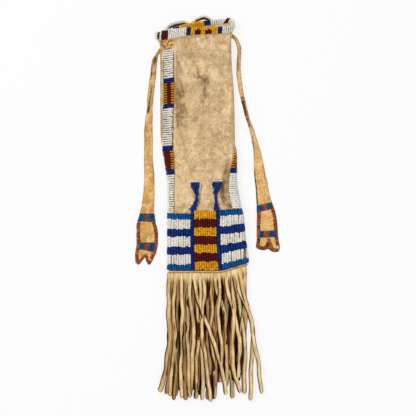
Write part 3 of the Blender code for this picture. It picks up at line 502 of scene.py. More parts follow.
def ease(value):
    """Smooth step from 0 to 1: three times the square less twice the cube."""
    q = np.clip(value, 0.0, 1.0)
    return q * q * (3.0 - 2.0 * q)


def placed(x, y, z):
    """Finished points from metres right of and above the panel's point of reference, and from heights."""
    return np.stack(np.broadcast_arrays(x, y, z), axis=-1) - REST


def spot_of(points):
    """Metres right of and above the panel's point of reference, for finished points."""
    return points[..., 0] + REST[0], points[..., 1] + REST[1]


def bell(value):
    """1 at nought, falling off on both sides with e to the minus square."""
    return np.exp(-value ** 2)


def wave(q, turns, phase):
    """A sine wave that makes so many turns while q runs from 0 to 1. The phase is a share of a turn."""
    return np.sin(2 * math.pi * (turns * q + phase))


def middles(count):
    """Middles of so many equal parts of the run from 0 to 1."""
    return (np.arange(count) + 0.5) / count


def running(values):
    """Running sum that starts from nought."""
    return np.concatenate([[0.0], np.cumsum(values)])


def level(stations, t):
    """Straight runs between stations, given as pairs of place and value."""
    table = np.array(stations)
    return np.interp(t, table[:, 0], table[:, 1])


def flow(places, values, t):
    """Cubic through the stations. Slopes come from both neighbours, held back so that none overshoots."""
    x = np.asarray(places, float)
    v = np.asarray(values, float)
    slope = np.gradient(v, x)
    secant = np.diff(v) / np.diff(x)
    steepest = 3 * np.minimum(np.abs(secant[:-1]), np.abs(secant[1:]))
    same_way = secant[:-1] * secant[1:] > 0
    slope[1:-1] = np.where(same_way, np.clip(slope[1:-1], -steepest, steepest), 0.0)
    t = np.clip(np.asarray(t, float), x[0], x[-1])
    i = np.clip(np.searchsorted(x, t) - 1, 0, len(x) - 2)
    h = x[i + 1] - x[i]
    q = (t - x[i]) / h
    start = (1 + 2 * q) * (1 - q) ** 2 * v[i] + q * (1 - q) ** 2 * h * slope[i]
    return start + q * q * (3 - 2 * q) * v[i + 1] + q * q * (q - 1) * h * slope[i + 1]


def curve_of(stations, t, column=1):
    """The cubic of flow through one column of a table whose first column holds the places."""
    table = np.array(stations)
    return flow(table[:, 0], table[:, column], t)


def unit(vectors):
    """Vectors divided by their lengths."""
    return vectors / np.maximum(np.linalg.norm(vectors, axis=-1, keepdims=True), 1e-12)


def from_pixel(x, y):
    """Metres right of and above the panel's point of reference, for a pixel of the photograph."""
    return (np.asarray(x) - ZERO_PIXEL[0]) * PIXEL, (ZERO_PIXEL[1] - np.asarray(y)) * PIXEL


def ripples(x, y, seed, count, shortest, longest, turn=0.0, spread=math.pi):
    """Sum of sine waves with random lengths, headings and phases, scaled to about -1 to 1."""
    rng = np.random.default_rng(seed)
    length = np.exp(rng.uniform(math.log(shortest), math.log(longest), count))
    heading = rng.uniform(-spread, spread, count) + turn
    phase = rng.uniform(0, 2 * math.pi, count)
    weight = (length / longest) ** 0.6
    total = np.zeros(np.broadcast(x, y).shape)
    for k in range(count):
        along = x * math.cos(heading[k]) + y * math.sin(heading[k])
        total += weight[k] * np.sin(2 * math.pi * along / length[k] + phase[k])
    return total / (0.8 * np.sqrt(np.sum(weight ** 2)) * 1.6)


def section(t):
    """Middle, half of the flat width, and edge radius of the pouch at a station."""
    left = curve_of(LEFT_SIDE, t)
    right = curve_of(RIGHT_SIDE, t)
    radius = level(EDGE_RADIUS, t)
    return (left + right) / 2, (right - left) / 2 - radius, radius


def girth(t):
    """Distance all the way round the section: both flats and the two half circles."""
    _, flat, radius = section(t)
    return 4 * flat + 2 * math.pi * radius


def extreme(t):
    """Distance round the section from the middle of the front to the outermost line of the edge."""
    _, flat, radius = section(t)
    return flat + math.pi / 2 * radius


def wrapped(s, loop):
    """The same place round the tube, counted the shorter way from the middle of the front."""
    return (s + loop / 2) % loop - loop / 2


def mouth_line(x):
    """Height of the mouth above the panel: a slanting line whose left end droops."""
    return BODY_LENGTH + MOUTH_TILT * x - MOUTH_DROOP * ease((x - DROOP_FROM) / (DROOP_TO - DROOP_FROM))


def lip_step(x):
    """How far the back lip stands above the mouth line, and the front lip below it."""
    return MOUTH_STEP * np.clip((x - STEP_FROM) / (STEP_TO - STEP_FROM), 0.0, 1.0)


def seam_depth(x):
    """Depth of the seam below the panel's top, less to the right where the seam rises."""
    return PANEL_HEIGHT - SEAM_RISE * ease((x - RISE_FROM) / (RISE_TO - RISE_FROM))


def height_of(t, x):
    """Distance up from the panel's top, down to the seam where it is negative, for a station."""
    return np.where(t >= 0, t * mouth_line(x), t * seam_depth(x))


def station_of(y, x):
    """The station at a height: height_of the other way round."""
    return np.where(y >= 0, y / mouth_line(x), y / seam_depth(x))


def resting(t):
    """Share of its height that the middle of the back drops at a station, down to the surface."""
    return ease((t - REST_FROM) / REST_RAMP) * ease((REST_TO - t) / REST_RAMP)


def groove(x, y, path, width):
    """How near each place is to a line through pixels of the photograph: 1 on it, a bell across it."""
    pixels = np.array(path, float)
    nodes = np.stack(from_pixel(pixels[:, 0], pixels[:, 1]), axis=-1)
    nearest = np.full(np.shape(x), np.inf)
    for (x0, y0), (x1, y1) in zip(nodes[:-1], nodes[1:]):
        ax, ay = x1 - x0, y1 - y0
        share = np.clip(((x - x0) * ax + (y - y0) * ay) / (ax * ax + ay * ay), 0, 1)
        nearest = np.minimum(nearest, np.hypot(x - x0 - share * ax, y - y0 - share * ay))
    return bell(nearest / width)


def hollow(x, y, centre, across, along):
    """A bell-shaped dent of its own width and height round a pixel of the photograph."""
    x0, y0 = from_pixel(*centre)
    return np.exp(-((x - x0) / (across * PIXEL)) ** 2 - ((y - y0) / (along * PIXEL)) ** 2)


def spots(x, y, table):
    """Sum of the hollows of a table, each times its strength."""
    return sum(strength * hollow(x, y, centre, across, along) for centre, across, along, strength in table)


def streaks(x, y, table):
    """Sum of the grooves of a table, each times its strength."""
    return sum(strength * groove(x, y, path, width) for path, width, strength in table)


def hide_relief(x, y):
    """Height of the front above the even form: ripples, dents and folds less the wrinkles."""
    even = sum(height * ripples(x, y, *draw) for height, *draw in RIPPLES)
    height, *draw = SLANTING_RIPPLES
    slanting = height * ripples(x, y, *draw) * hollow(x, y, *SLANTING_PATCH)
    wrinkles = streaks(x, y, [(path, width, depth) for path, width, depth, _ in WRINKLES])
    return even + slanting + spots(x, y, DENTS) + streaks(x, y, FOLDS) - wrinkles


def skin(s, t, lift=0.0):
    """Points on the outside of the pouch, or that far outside it, in the part's frame.

    The front is flat with a low crown that falls off with the fourth power, the edges are half circles,
    and the middle of the back sags to the surface.
    """
    s, t, lift = np.broadcast_arrays(np.asarray(s, float), np.asarray(t, float), lift)
    middle, flat, radius = section(t)
    s = wrapped(s, 4 * flat + 2 * math.pi * radius)
    side = np.where(s < 0, -1.0, 1.0)
    reach = np.abs(s)
    arc = np.clip((reach - flat) / radius, 0.0, math.pi)
    under = np.maximum(reach - flat - math.pi * radius, 0.0)
    offset = np.minimum(reach, flat) + (radius + lift) * np.sin(arc) - under
    x = middle + side * offset
    low = np.interp(t, (-1.0, -0.72), (SEAM_LIFT, FOOT_LIFT))
    y = height_of(t, x)
    bulge = level(CROWN, t) * np.clip(1 - (reach / flat) ** 2, 0.0, 1.0) ** 2
    soft = ease(1.6 * (1 - arc / math.pi)) * ease((t + 0.9) / 0.5) * ease((1.0 - t) / 0.06)
    beaded = 1 - 0.75 * ease((-y - 0.002) / 0.006)
    relief = soft * beaded * hide_relief(x, y)
    front = low + 2 * radius + bulge + lift + relief
    edge = low + radius + (radius + lift) * np.cos(arc) + relief * (1 - arc / math.pi)
    sag = resting(t) * (1 - ease((np.abs(x - middle) / flat - 0.35) / 0.65))
    back = low * (1 - sag) - lift
    z = np.where(reach <= flat, front, np.where(under > 0, back, edge))
    y = y - lip_step(x) * np.cos(arc) * ease((t - 0.8) / 0.15)
    return placed(x, y, z)


def seated(s, t, lift):
    """Point, direction round the tube, towards the mouth, outward normal, and stretch round the tube."""
    step = 0.0003
    point = skin(s, t, lift)
    across = skin(s + step, t, lift) - skin(s - step, t, lift)
    stretch = np.linalg.norm(across, axis=-1) / (2 * step)
    ahead = unit(skin(s, t + 4 * step, lift) - skin(s, t - 4 * step, lift))
    return point, unit(across), ahead, unit(np.cross(across, ahead)), stretch


# Meshes

def linked(name, data):
    """An object with that data, in the scene."""
    obj = bpy.data.objects.new(name, data)
    bpy.context.scene.collection.objects.link(obj)
    return obj


def mesh_object(name, points, quads, material, smooth=True, **attributes):
    """An object from arrays of points and four-sided faces, with one value a point for each attribute.

    Faces are turned outwards: the volume that they close, summed from the origin, must not be negative.
    """
    points = points.reshape(-1, 3)
    quads = quads.reshape(-1, 4)
    a, b, c, d = (points[quads[:, k]] for k in range(4))
    if np.sum(a * (np.cross(b, c) + np.cross(c, d))) < 0:
        quads = quads[:, ::-1]
    mesh = bpy.data.meshes.new(name)
    mesh.from_pydata(points.tolist(), [], quads.tolist())
    for label, values in attributes.items():
        layer = mesh.attributes.new(label, "FLOAT", "POINT")
        layer.data.foreach_set("value", np.ascontiguousarray(values, dtype=np.float32).ravel())
    mesh.materials.append(material)
    mesh.polygons.foreach_set("use_smooth", [smooth] * len(mesh.polygons))
    mesh.update()
    return linked(name, mesh)


def dress(obj, slot, *nodes):
    """Binds a piece to the part: it rides on the bag and may replace nodes. Its slot is not used."""
    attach(obj, "root")
    if nodes:
        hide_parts(*nodes)


def grid_quads(rows, columns, closed=False):
    """Faces of a grid whose points run along the columns first. A closed grid joins its last column."""
    i = np.arange(rows - 1)[:, None]
    j = np.arange(columns if closed else columns - 1)[None, :]
    k = (j + 1) % columns
    return np.stack([i * columns + j, i * columns + k, (i + 1) * columns + k, (i + 1) * columns + j], axis=-1)


def slabs(top, bottom):
    """Closed strips from their upper and lower grids, of shape strips, rows, columns: joined all round."""
    count, rows, columns = top.shape[:3]
    loop = np.concatenate([top, bottom[:, :, ::-1]], axis=2)
    ring = 2 * columns
    sides = grid_quads(rows, ring, closed=True).reshape(-1, 4)
    j = np.arange(columns - 1)
    near = np.stack([j, ring - 1 - j, ring - 2 - j, j + 1], axis=-1)
    far = (near + (rows - 1) * ring)[:, ::-1]
    quads = np.concatenate([sides, near[:, ::-1], far[:, ::-1]])[:, ::-1]
    quads = quads[None] + (np.arange(count) * rows * ring)[:, None, None]
    return loop, quads


def bead_form():
    """A bead as a barrel: four rings of eight points, and three faces on each end."""
    rings = ((-1.0, 0.8), (-0.6, 1.08), (0.6, 1.08), (1.0, 0.8))
    turn = 2 * math.pi * middles(8)
    points = np.array([(a, r * math.cos(w), r * math.sin(w)) for a, r in rings for w in turn])
    sides = grid_quads(4, 8, closed=True).reshape(-1, 4)
    cap = np.array(((0, 1, 2, 3), (0, 3, 4, 7), (4, 5, 6, 7)))
    return points, np.concatenate([sides, cap[:, ::-1], cap + 24])


def bead_piece(name, beads, material, seed, tones=(0.0, 1.0)):
    """One piece from many beads. beads lists arrays of middles, three directions and three half sizes."""
    form, faces = bead_form()
    middle, along, side, up, half = (np.concatenate([part[k] for part in beads]) for k in range(5))
    rng = np.random.default_rng(seed)
    size = half * (1 + rng.uniform(-0.05, 0.05, half.shape) * (1.0, 2.4, 1.0))
    middle = middle + 0.00007 * rng.normal(size=middle.shape)
    points = middle[:, None] + along[:, None] * (form[None, :, :1] * size[:, None, :1])
    points = points + side[:, None] * (form[None, :, 1:2] * size[:, None, 1:2])
    points = points + up[:, None] * (form[None, :, 2:] * size[:, None, 2:])
    handed = np.sum(np.cross(side, up) * along, axis=-1)
    count = len(middle)
    quads = faces[None] + (np.arange(count) * len(form))[:, None, None]
    quads = np.where((handed > 0)[:, None, None], quads, quads[:, :, ::-1])
    tone = np.repeat(rng.uniform(*tones, count), len(form))
    return mesh_object(name, points, quads, material, tone=tone)


def flat_beads(middle, along, half):
    """Beads that lie level along their direction: their three directions are along, sideways and up."""
    up = np.tile((0.0, 0.0, 1.0), (len(along), 1))
    return middle, along, unit(np.cross(up, along)), up, half


def nodes_by_colour(colours, pattern):
    """Names of the nodes of a row of fields, gathered by colour in the order in which colours appear."""
    nodes = {}
    for number, colour in enumerate(colours, 1):
        nodes.setdefault(colour, []).append(pattern.format(number=number, colour=colour))
    return nodes


def bead_pieces(kind, found, nodes, seed, tones):
    """A piece for each colour of beads, which takes the place of that colour's nodes."""
    for number, (colour, parts) in enumerate(found.items()):
        glass = bead_glass("glass_beads_" + colour, getattr(settings().beads, colour), BEAD_DEPTH[colour])
        piece = bead_piece(f"{kind}_beads_{colour}", parts, glass, seed + number, tones[colour])
        dress(piece, "beads_" + colour, *nodes[colour])


def string_beads(s_ends, t_ends, count, width, height, hump=0.0, lift=None):
    """Beads of many strings. Each string runs straight in s and t between its ends and arches by hump.

    A bead is as long as its share of the string, and as wide as width, stretched where the hide curves. Its
    middle is lifted by half its height, or by lift.
    """
    lift = height / 2 if lift is None else lift
    share = middles(count)
    s = s_ends[0][:, None] * (1 - share) + s_ends[1][:, None] * share
    t = t_ends[0][:, None] * (1 - share) + t_ends[1][:, None] * share
    rise = np.broadcast_to(lift + hump * (1 - (2 * share - 1) ** 2), s.shape)
    middle, across, ahead, up, stretch = seated(s, t, rise)
    middle[..., 2] = np.maximum(middle[..., 2], 0.6 * height)
    run = skin(s_ends[1], t_ends[1], lift) - skin(s_ends[0], t_ends[0], lift)
    length = np.linalg.norm(run, axis=-1) / count
    if count > 1:
        length = np.mean(np.linalg.norm(np.diff(middle, axis=1), axis=-1), axis=1)
    run = run[:, None]
    lean = unit(across * np.sum(run * across, axis=-1, keepdims=True)
                + ahead * np.sum(run * ahead, axis=-1, keepdims=True))
    side = unit(np.cross(up, lean))
    wide = np.broadcast_to(np.asarray(width, float), (len(s),))[:, None]
    wide = wide * (1 + (np.clip(stretch, 0.7, 1.35) - 1) * np.abs(np.sum(side * across, axis=-1)))
    long = np.repeat(length[:, None], count, axis=1)
    half = np.stack([long, wide, np.full_like(wide, height)], axis=-1) / 2
    return tuple(a.reshape(-1, 3) for a in (middle, lean, side, up, half))


# Materials

def new_material(name, roughness, colour=None):
    """A node material and its shader."""
    material = bpy.data.materials.new(name)
    material.use_nodes = True
    shader = material.node_tree.nodes["Principled BSDF"]
    shader.inputs["Roughness"].default_value = roughness
    if colour is not None:
        shader.inputs["Base Color"].default_value = (*colour, 1.0)
    return material, shader


def add(tree, kind, links=(), **values):
    """A shader node with its settings. links pairs an input with the socket that feeds it."""
    node = tree.nodes.new(kind)
    for key, value in values.items():
        if hasattr(node, key):
            setattr(node, key, value)
        else:
            node.inputs[key.replace("_", " ")].default_value = value
    for key, socket in links:
        tree.links.new(socket, node.inputs[key])
    return node


def feed(tree, target, value):
    """Feeds an input from a socket, or sets it to a plain number or colour."""
    if isinstance(value, bpy.types.NodeSocket):
        tree.links.new(value, target)
    else:
        target.default_value = value if np.ndim(value) == 0 else (*value, 1.0)


def noise(tree, scale, detail, stretch=(1.0, 1.0, 1.0), turn=0.0, place=(0.0, 0.0, 0.0), distortion=0.0):
    """Noise in object coordinates that may be stretched, turned and moved."""
    where = add(tree, "ShaderNodeTexCoord")
    mapping = add(tree, "ShaderNodeMapping", [("Vector", where.outputs["Object"])],
                  Scale=stretch, Rotation=(0.0, 0.0, turn), Location=place)
    node = add(tree, "ShaderNodeTexNoise", [("Vector", mapping.outputs[0])], Scale=scale, Detail=detail,
               Distortion=distortion)
    return node.outputs["Fac"]


def clouds(tree, scale, detail, low, high, **shift):
    """Noise brought to 0 to 1 between two levels."""
    node = add(tree, "ShaderNodeMapRange", [("Value", noise(tree, scale, detail, **shift))],
               From_Min=low, From_Max=high)
    return node.outputs["Result"]


def veins(tree, scale, width, place=(0.0, 0.0, 0.0)):
    """Thin wandering lines: where distorted noise passes its middle value."""
    middle = noise(tree, scale, 3.0, place=place, distortion=0.6)
    node = add(tree, "ShaderNodeMath", [(0, middle)], operation="COMPARE")
    feed(tree, node.inputs[1], 0.5)
    feed(tree, node.inputs[2], width)
    return node.outputs[0]


def blend_colour(tree, factor, first, second, strength=1.0):
    """Mix of two colours. Each may be a socket or a plain colour."""
    node = add(tree, "ShaderNodeMix", data_type="RGBA")
    feed(tree, node.inputs["Factor"], times(tree, factor, strength) if strength < 1.0 else factor)
    for key, value in (("A", first), ("B", second)):
        feed(tree, next(item for item in node.inputs if item.name == key and item.type == "RGBA"), value)
    return next(item for item in node.outputs if item.type == "RGBA")


def layered(tree, colour, coats):
    """Coats of colour laid one on another. Each has the socket of its share, its colour and its strength."""
    for share, coat, strength in coats:
        colour = blend_colour(tree, share, colour, coat, strength)
    return colour


def times(tree, socket, factor, operation="MULTIPLY"):
    """A socket times a number or another socket, or another operation of both, held in 0 to 1."""
    node = add(tree, "ShaderNodeMath", [(0, socket)], operation=operation, use_clamp=True)
    feed(tree, node.inputs[1], factor)
    return node.outputs[0]


def painted(tree, label):
    """The piece's own value of that name at each point."""
    return add(tree, "ShaderNodeAttribute", attribute_name=label).outputs["Fac"]


def roughen(tree, shader, scale, distance, strength=0.5):
    """Fine bumps from noise in object coordinates."""
    height = clouds(tree, scale, 4.0, 0.25, 0.75)
    bump = add(tree, "ShaderNodeBump", [("Height", height)], Strength=strength, Distance=distance)
    tree.links.new(bump.outputs[0], shader.inputs["Normal"])


def cover(tree, shader, colour, shine, *bumps):
    """Gives a shader its colour, its shine and its fine bumps."""
    tree.links.new(colour, shader.inputs["Base Color"])
    shader.inputs["Specular IOR Level"].default_value = shine
    roughen(tree, shader, *bumps)


def two_toned(name, roughness, cloud, colours):
    """A material that wanders between two colours with clouds of noise."""
    material, shader = new_material(name, roughness)
    tree = material.node_tree
    tree.links.new(blend_colour(tree, clouds(tree, *cloud), *colours), shader.inputs["Base Color"])
    return material


def seen(tree):
    """1 for the camera's own rays and for mirrored ones, else 0."""
    path = add(tree, "ShaderNodeLightPath")
    return times(tree, path.outputs["Is Camera Ray"], path.outputs["Is Glossy Ray"], "MAXIMUM")


def pouch_suede():
    """Soft tanned hide, made once: clouds, streaks and veins, stains with painted shade and pale places with
    painted highlights from the piece, a matt nap.
    """
    name = "suede_hide"
    if name in bpy.data.materials:
        return bpy.data.materials[name]
    hide = settings().hide
    material, shader = new_material(name, 0.92)
    tree = material.node_tree
    streak = clouds(tree, 75.0, 4.0, 0.48, 0.62, stretch=(2.6, 0.7, 1.0), turn=math.radians(-28))
    # The stain values carry real stains and painted shade in the wrinkles, the dimple and the crease.
    mottled = times(tree, painted(tree, "stain"), clouds(tree, 170.0, 5.0, 0.22, 0.56))
    knots = blend_colour(tree, clouds(tree, 430.0, 2.0, 0.42, 0.58), WORN_DARK, WORN_LIGHT)
    colour = layered(tree, hide.base, (
        (clouds(tree, 45.0, 5.0, 0.44, 0.62), hide.dark, 0.34),
        (clouds(tree, 80.0, 5.0, 0.46, 0.62, place=(3.1, 1.7, 0.4)), hide.light, 0.7),
        (streak, hide.light, 0.55),
        (clouds(tree, 170.0, 5.0, 0.48, 0.62, place=(7.0, 2.0, 5.0)), hide.dark, 0.46),
        (veins(tree, 120.0, 0.008), hide.dark, 0.55),
        (veins(tree, 210.0, 0.007, (4.0, 1.0, 2.0)), hide.light, 0.5),
        (clouds(tree, 420.0, 4.0, 0.48, 0.66), hide.dark, 0.4),
        (clouds(tree, 800.0, 2.0, 0.62, 0.72, place=(1.0, 2.0, 3.0)), hide.brown, 0.6),
        (mottled, hide.brown, 0.9),
        # Rubbed places and painted highlights along the folds.
        (painted(tree, "pale"), hide.light, 0.8),
        (painted(tree, "worn"), knots, 1.0),
        # Soil and painted shade under the beads.
        (painted(tree, "under"), SOIL_AND_SHADE_UNDER_BEADS, 1.0)))
    shader.inputs["Sheen Weight"].default_value = 0.1
    shader.inputs["Sheen Roughness"].default_value = 0.6
    cover(tree, shader, colour, 0.1, 420.0, 0.0008, 0.6)
    return material


def bead_glass(name, colour, depth, roughness=0.32):
    """Opaque glass, made once: beads from the colour down to its share depth, and patches of dirt."""
    if name in bpy.data.materials:
        return bpy.data.materials[name]
    material, shader = new_material(name, roughness)
    tree = material.node_tree
    dark = np.array(colour) * depth
    shade = layered(tree, dark, ((painted(tree, "tone"), colour, 1.0),
                                 (clouds(tree, 90.0, 4.0, 0.5, 0.8), 0.6 * dark, 0.35)))
    cover(tree, shader, shade, 0.16, 1500.0, 0.00008, 0.3)
    return material


# Settings

def colour_setting(name, description, default):
    """A colour that the user may change."""
    return FloatVectorProperty(name=name, description=description, default=default, subtype="COLOR",
                               min=0, max=1)


def length_setting(name, description, default, least=0.0):
    """A length that the user may change."""
    return FloatProperty(name=name, description=description, default=default, min=least, subtype="DISTANCE")


class HideSettings(bpy.types.PropertyGroup):
    """Colours of the hide and how finely it is divided"""

    base: colour_setting("Hide", "Main colour of the pouch's hide", (0.8, 0.56, 0.29))
    # The light hide also paints highlights along the folds of the front.
    light: colour_setting("Light hide", "Where the nap is rubbed pale", (0.92, 0.7, 0.43))
    dark: colour_setting("Dark hide", "Where the hide has darkened", (0.37, 0.215, 0.08))
    # The stain colour also paints shade in the wrinkles, the dimple and the crease.
    brown: colour_setting("Stain", "Stains, soot and handling marks", (0.17, 0.085, 0.026))
    thong: colour_setting("Thong hide", "Main colour of the ties", (0.775, 0.46, 0.155))
    columns: IntProperty(name="Columns", description="Faces round the pouch", default=208, min=24)
    rows: IntProperty(name="Rows", description="Faces along the outside of the pouch", default=280, min=24)


class BeadSettings(bpy.types.PropertyGroup):
    """Sizes and colours of the beadwork"""

    pitch: length_setting("String pitch", "From one bead string to the next", 0.00262, 0.001)
    height: length_setting("Bead height", "How far a bead stands above the hide", 0.0023, 0.0005)
    hump: length_setting("Lane hump", "How much a string arches over its lane", 0.00035)
    ragged: length_setting("Ragged lanes", "How far a string may end above or below its lane", 0.0008)
    white: colour_setting("White", "White beads", (0.9, 0.86, 0.78))
    blue: colour_setting("Dark blue", "Dark blue beads", (0.002, 0.036, 0.23))
    light_blue: colour_setting("Light blue", "Light blue beads", (0.001, 0.125, 0.38))
    maroon: colour_setting("Maroon", "Maroon beads", (0.12, 0.003, 0.003))
    yellow: colour_setting("Yellow", "Yellow beads", (0.92, 0.5, 0.012))


class FringeSettings(bpy.types.PropertyGroup):
    """Sizes and colours of the fringe"""

    width: length_setting("Strand width", "Width of a cut strand", 0.005, 0.001)
    thickness: length_setting("Strand thickness", "Thickness of the fringe hide", 0.0012, 0.0003)
    # The strand light is also the painted highlight along each strand's middle.
    light: colour_setting("Strand light", "Flesh side of a strand", (1.0, 0.8, 0.44))
    base: colour_setting("Strand", "Main colour of a strand", (0.86, 0.475, 0.125))
    brown: colour_setting("Strand stain", "Brown patches", (0.24, 0.08, 0.012))
    # The strand edge colour is painted shade on the edges and on strands deep in the heap.
    dark: colour_setting("Strand edge", "Dark cut edges and shadowed strands", (0.01, 0.004, 0.001))


class TieSettings(bpy.types.PropertyGroup):
    """Thickness of the ties and colours of their tabs"""

    thickness: length_setting("Tie thickness", "Thickness of the tie's hide", 0.0013, 0.0003)
    edge: colour_setting("Tab edge", "Red-brown beads round the tabs", (0.52, 0.12, 0.024))
    blue: colour_setting("Band blue", "Blue of the tab's bands", (0.004, 0.11, 0.25))
    red: colour_setting("Band red", "Red of the tab's bands", (0.52, 0.09, 0.02))


class StageSettings(bpy.types.PropertyGroup):
    """Camera, lamps and floor"""

    distance: length_setting("Camera height", "From the camera to the bag", 5.0, 0.5)
    key: FloatProperty(name="Key light", description="Power of the large soft lamp", default=15.0, min=0)
    sky: FloatProperty(name="Sky light", description="Light from all round", default=0.55, min=0)
    floor: colour_setting("Floor", "Colour of the floor", (0.9, 0.9, 0.9))


class PipeBagSettings(bpy.types.PropertyGroup):
    """All settings of the pipe bag"""

    hide: PointerProperty(type=HideSettings)
    beads: PointerProperty(type=BeadSettings)
    fringe: PointerProperty(type=FringeSettings)
    ties: PointerProperty(type=TieSettings)
    stage: PointerProperty(type=StageSettings)


def settings():
    """The settings that this scene keeps."""
    return bpy.context.scene.pipe_bag


# Pieces

class PIPEBAG_OT_hide_pouch(bpy.types.Operator):
    """The hide: one closed surface up the outside, over the lip and down the inside, pinched at the seam"""

    bl_idname = "pipe_bag.hide_pouch"
    bl_label = "Hide Pouch"

    def execute(self, context):
        hide = settings().hide
        share = np.arange(hide.columns) / hide.columns
        front_lip = ease((LIP_REACH - np.abs(share - 0.5)) / LIP_RAMP + 0.5)
        top = 1.0 - (RIM_HEIGHT / 2 - LIP_DEPTH) / BODY_LENGTH * front_lip
        outer_t = np.linspace(-1.0, top, hide.rows)
        inner_t = np.linspace(top, INNER_FOOT, hide.rows // 5)
        shells = []
        for t, lift in ((outer_t, 0.0), (inner_t, -HIDE)):
            s = girth(t) * (share[None] - 0.5)
            shells.append(skin(s, t, lift))
            if lift == 0.0:
                under = self.under_beads(s, t, spot_of(shells[0])[0])
        seam = shells[0][:1].copy()
        seam[..., 2] = SEAM_LIFT + float(section(-1.0)[2])
        inner_seam = shells[1][-1:].copy()
        inner_seam[..., 2] = np.mean(inner_seam[..., 2])
        points = np.concatenate([seam, shells[0], shells[1], inner_seam])
        quads = grid_quads(len(points), hide.columns, closed=True)
        x, y = spot_of(points)
        outside = np.zeros(len(points))
        outside[:len(outer_t) + 1] = 1.0
        front = outside[:, None] * ease((points[..., 2] - FRONT_FROM) / FRONT_RAMP)
        # stain holds stains with painted shade, pale holds rubbed places with painted highlights.
        stain, pale = self.marks(x, y)
        covered = np.zeros(front.shape)
        covered[1:len(outer_t) + 1] = under
        worn = np.clip(2.2 * hollow(x, y, *WORN_PATCH), 0, 1)
        piece = mesh_object("hide_pouch", points, quads, pouch_suede(), stain=stain * front,
                            pale=pale * front, under=covered, worn=worn * front)
        dress(piece, "hide", "pouch_hide")
        return {"FINISHED"}

    def under_beads(self, s, t, x):
        """1 where the panel or a side strip covers the hide, which is dark between the strings with soil and
        painted shade.
        """
        covered = ease((level(PANEL_TOP, x) - t) / 0.012 + 0.4)
        half = STRIP_WIDTH / 2
        for flip, drop, setting in STRIPS:
            away = np.abs(s - flip * (extreme(t) - curve_of(setting, t)))
            below_top = ease((BODY_LENGTH - drop - t * BODY_LENGTH) / 0.002 + 0.5)
            covered = np.maximum(covered, ease((half - away) / 0.0008 + 0.6) * below_top)
        bare = hollow(x, t * seam_depth(x), *BARE_SPOT) * (np.abs(s) < 0.9 * extreme(t) + 0.004)
        return covered * (1 - 0.9 * bare)

    def marks(self, x, y):
        """Stains and rubbed places of the front with painted shade and painted highlights, each a soft spot
        or streak at its place.
        """
        soil_and_shade = [(path, width, strength) for path, width, _, strength in WRINKLES]
        stain = spots(x, y, STAIN_AND_SHADE_SPOTS) + streaks(x, y, soil_and_shade) + streaks(x, y, STAIN_AND_SHADE_STREAKS)
        pale = spots(x, y, PALE_SPOTS) + streaks(x, y, PALE_AND_HIGHLIGHT_STREAKS)
        return np.clip(stain, 0, 1), np.clip(pale, 0, 1)


class PIPEBAG_OT_panel_beads(bpy.types.Operator):
    """Lanes of the bottom panel: strings upright in each lane, side by side round the pouch"""

    bl_idname = "pipe_bag.panel_beads"
    bl_label = "Panel Beads"

    def execute(self, context):
        beads = settings().beads
        rng = np.random.default_rng(41)
        clear = DIVIDER_WIDTH / 2 + 0.0001

        def round_back(share, t):
            middle = section(t)[0]
            start = curve_of(RIGHT_FIGURE, t) - middle + clear
            end = girth(t) + curve_of(LEFT_FIGURE, t) - middle - clear
            return start + (end - start) * share, end - start

        run = float(round_back(0.5, -0.5)[1])
        strings = int(round(run / beads.pitch))
        share = middles(strings)
        top = panel_top(round_back(share, TOP_STATION)[0])
        edges = running([height for _, height, _ in LANES])
        bounds = []
        for edge in edges / edges[-1]:
            t = top + (PANEL_FOOT - top) * edge + rng.uniform(-1, 1, strings) * beads.ragged / PANEL_HEIGHT
            bounds.append((round_back(share, t)[0] + rng.normal(0, STRING_STRAY, strings), t))
        found = {"light_blue": [], "white": [], "blue": []}
        for (colour, _, count), upper, lower in zip(LANES, bounds[:-1], bounds[1:]):
            keep = self.kept(upper, lower) if colour == "white" else np.ones(strings, bool)
            width = run / strings * rng.uniform(*SIDE_SNUG, strings)
            lean = np.where(share < LEAN_UNTIL, *STRING_LEAN)
            found[colour].append(string_beads(((lower[0] - lean)[keep], (upper[0] + lean)[keep]),
                                              (lower[1][keep], upper[1][keep]), count, width[keep],
                                              beads.height, beads.hump))
        nodes = nodes_by_colour([colour for colour, _, _ in LANES], "side_band_{number}")
        bead_pieces("side", found, nodes, 60, SIDE_TONES)
        self.centre(beads, rng, clear)
        return {"FINISHED"}

    def kept(self, upper, lower):
        """Leaves out the string that is lost from a white lane."""
        place = skin((upper[0] + lower[0]) / 2, (upper[1] + lower[1]) / 2)
        lost_x, lost_y = from_pixel(*LOST_STRING)
        x, y = spot_of(place)
        away = np.abs(x - lost_x) + 10 * (place[:, 2] < 0.003)
        near = away < np.min(away) + 1e-6
        return ~(near & (np.abs(y - lost_y) < 0.006))

    def centre(self, beads, rng, clear):
        """The seven lanes between the dividers, their strings upright too."""
        share = middles(CENTRE_STRINGS)
        bounds = []
        for edge in np.linspace(0, 1, len(CENTRE_COLOURS) + 1):
            t = CENTRE_TOP + (PANEL_FOOT - CENTRE_TOP) * edge
            t = t + rng.uniform(-1, 1, CENTRE_STRINGS) * beads.ragged / PANEL_HEIGHT
            middle = section(t)[0]
            start = curve_of(LEFT_FIGURE, t) - middle + clear
            end = curve_of(RIGHT_FIGURE, t) - middle - clear
            bounds.append((start + (end - start) * share, t, float(np.mean(end - start)) / CENTRE_STRINGS))
        found = {"yellow": [], "maroon": []}
        for colour, upper, lower in zip(CENTRE_COLOURS, bounds[:-1], bounds[1:]):
            width = upper[2] * rng.uniform(*CENTRE_SNUG, CENTRE_STRINGS)
            found[colour].append(string_beads((lower[0], upper[0]), (lower[1], upper[1]), CENTRE_BEADS,
                                              width, beads.height, beads.hump))
        nodes = nodes_by_colour(CENTRE_COLOURS, "centre_band_{number}")
        bead_pieces("centre", found, nodes, 70, CENTRE_TONES)


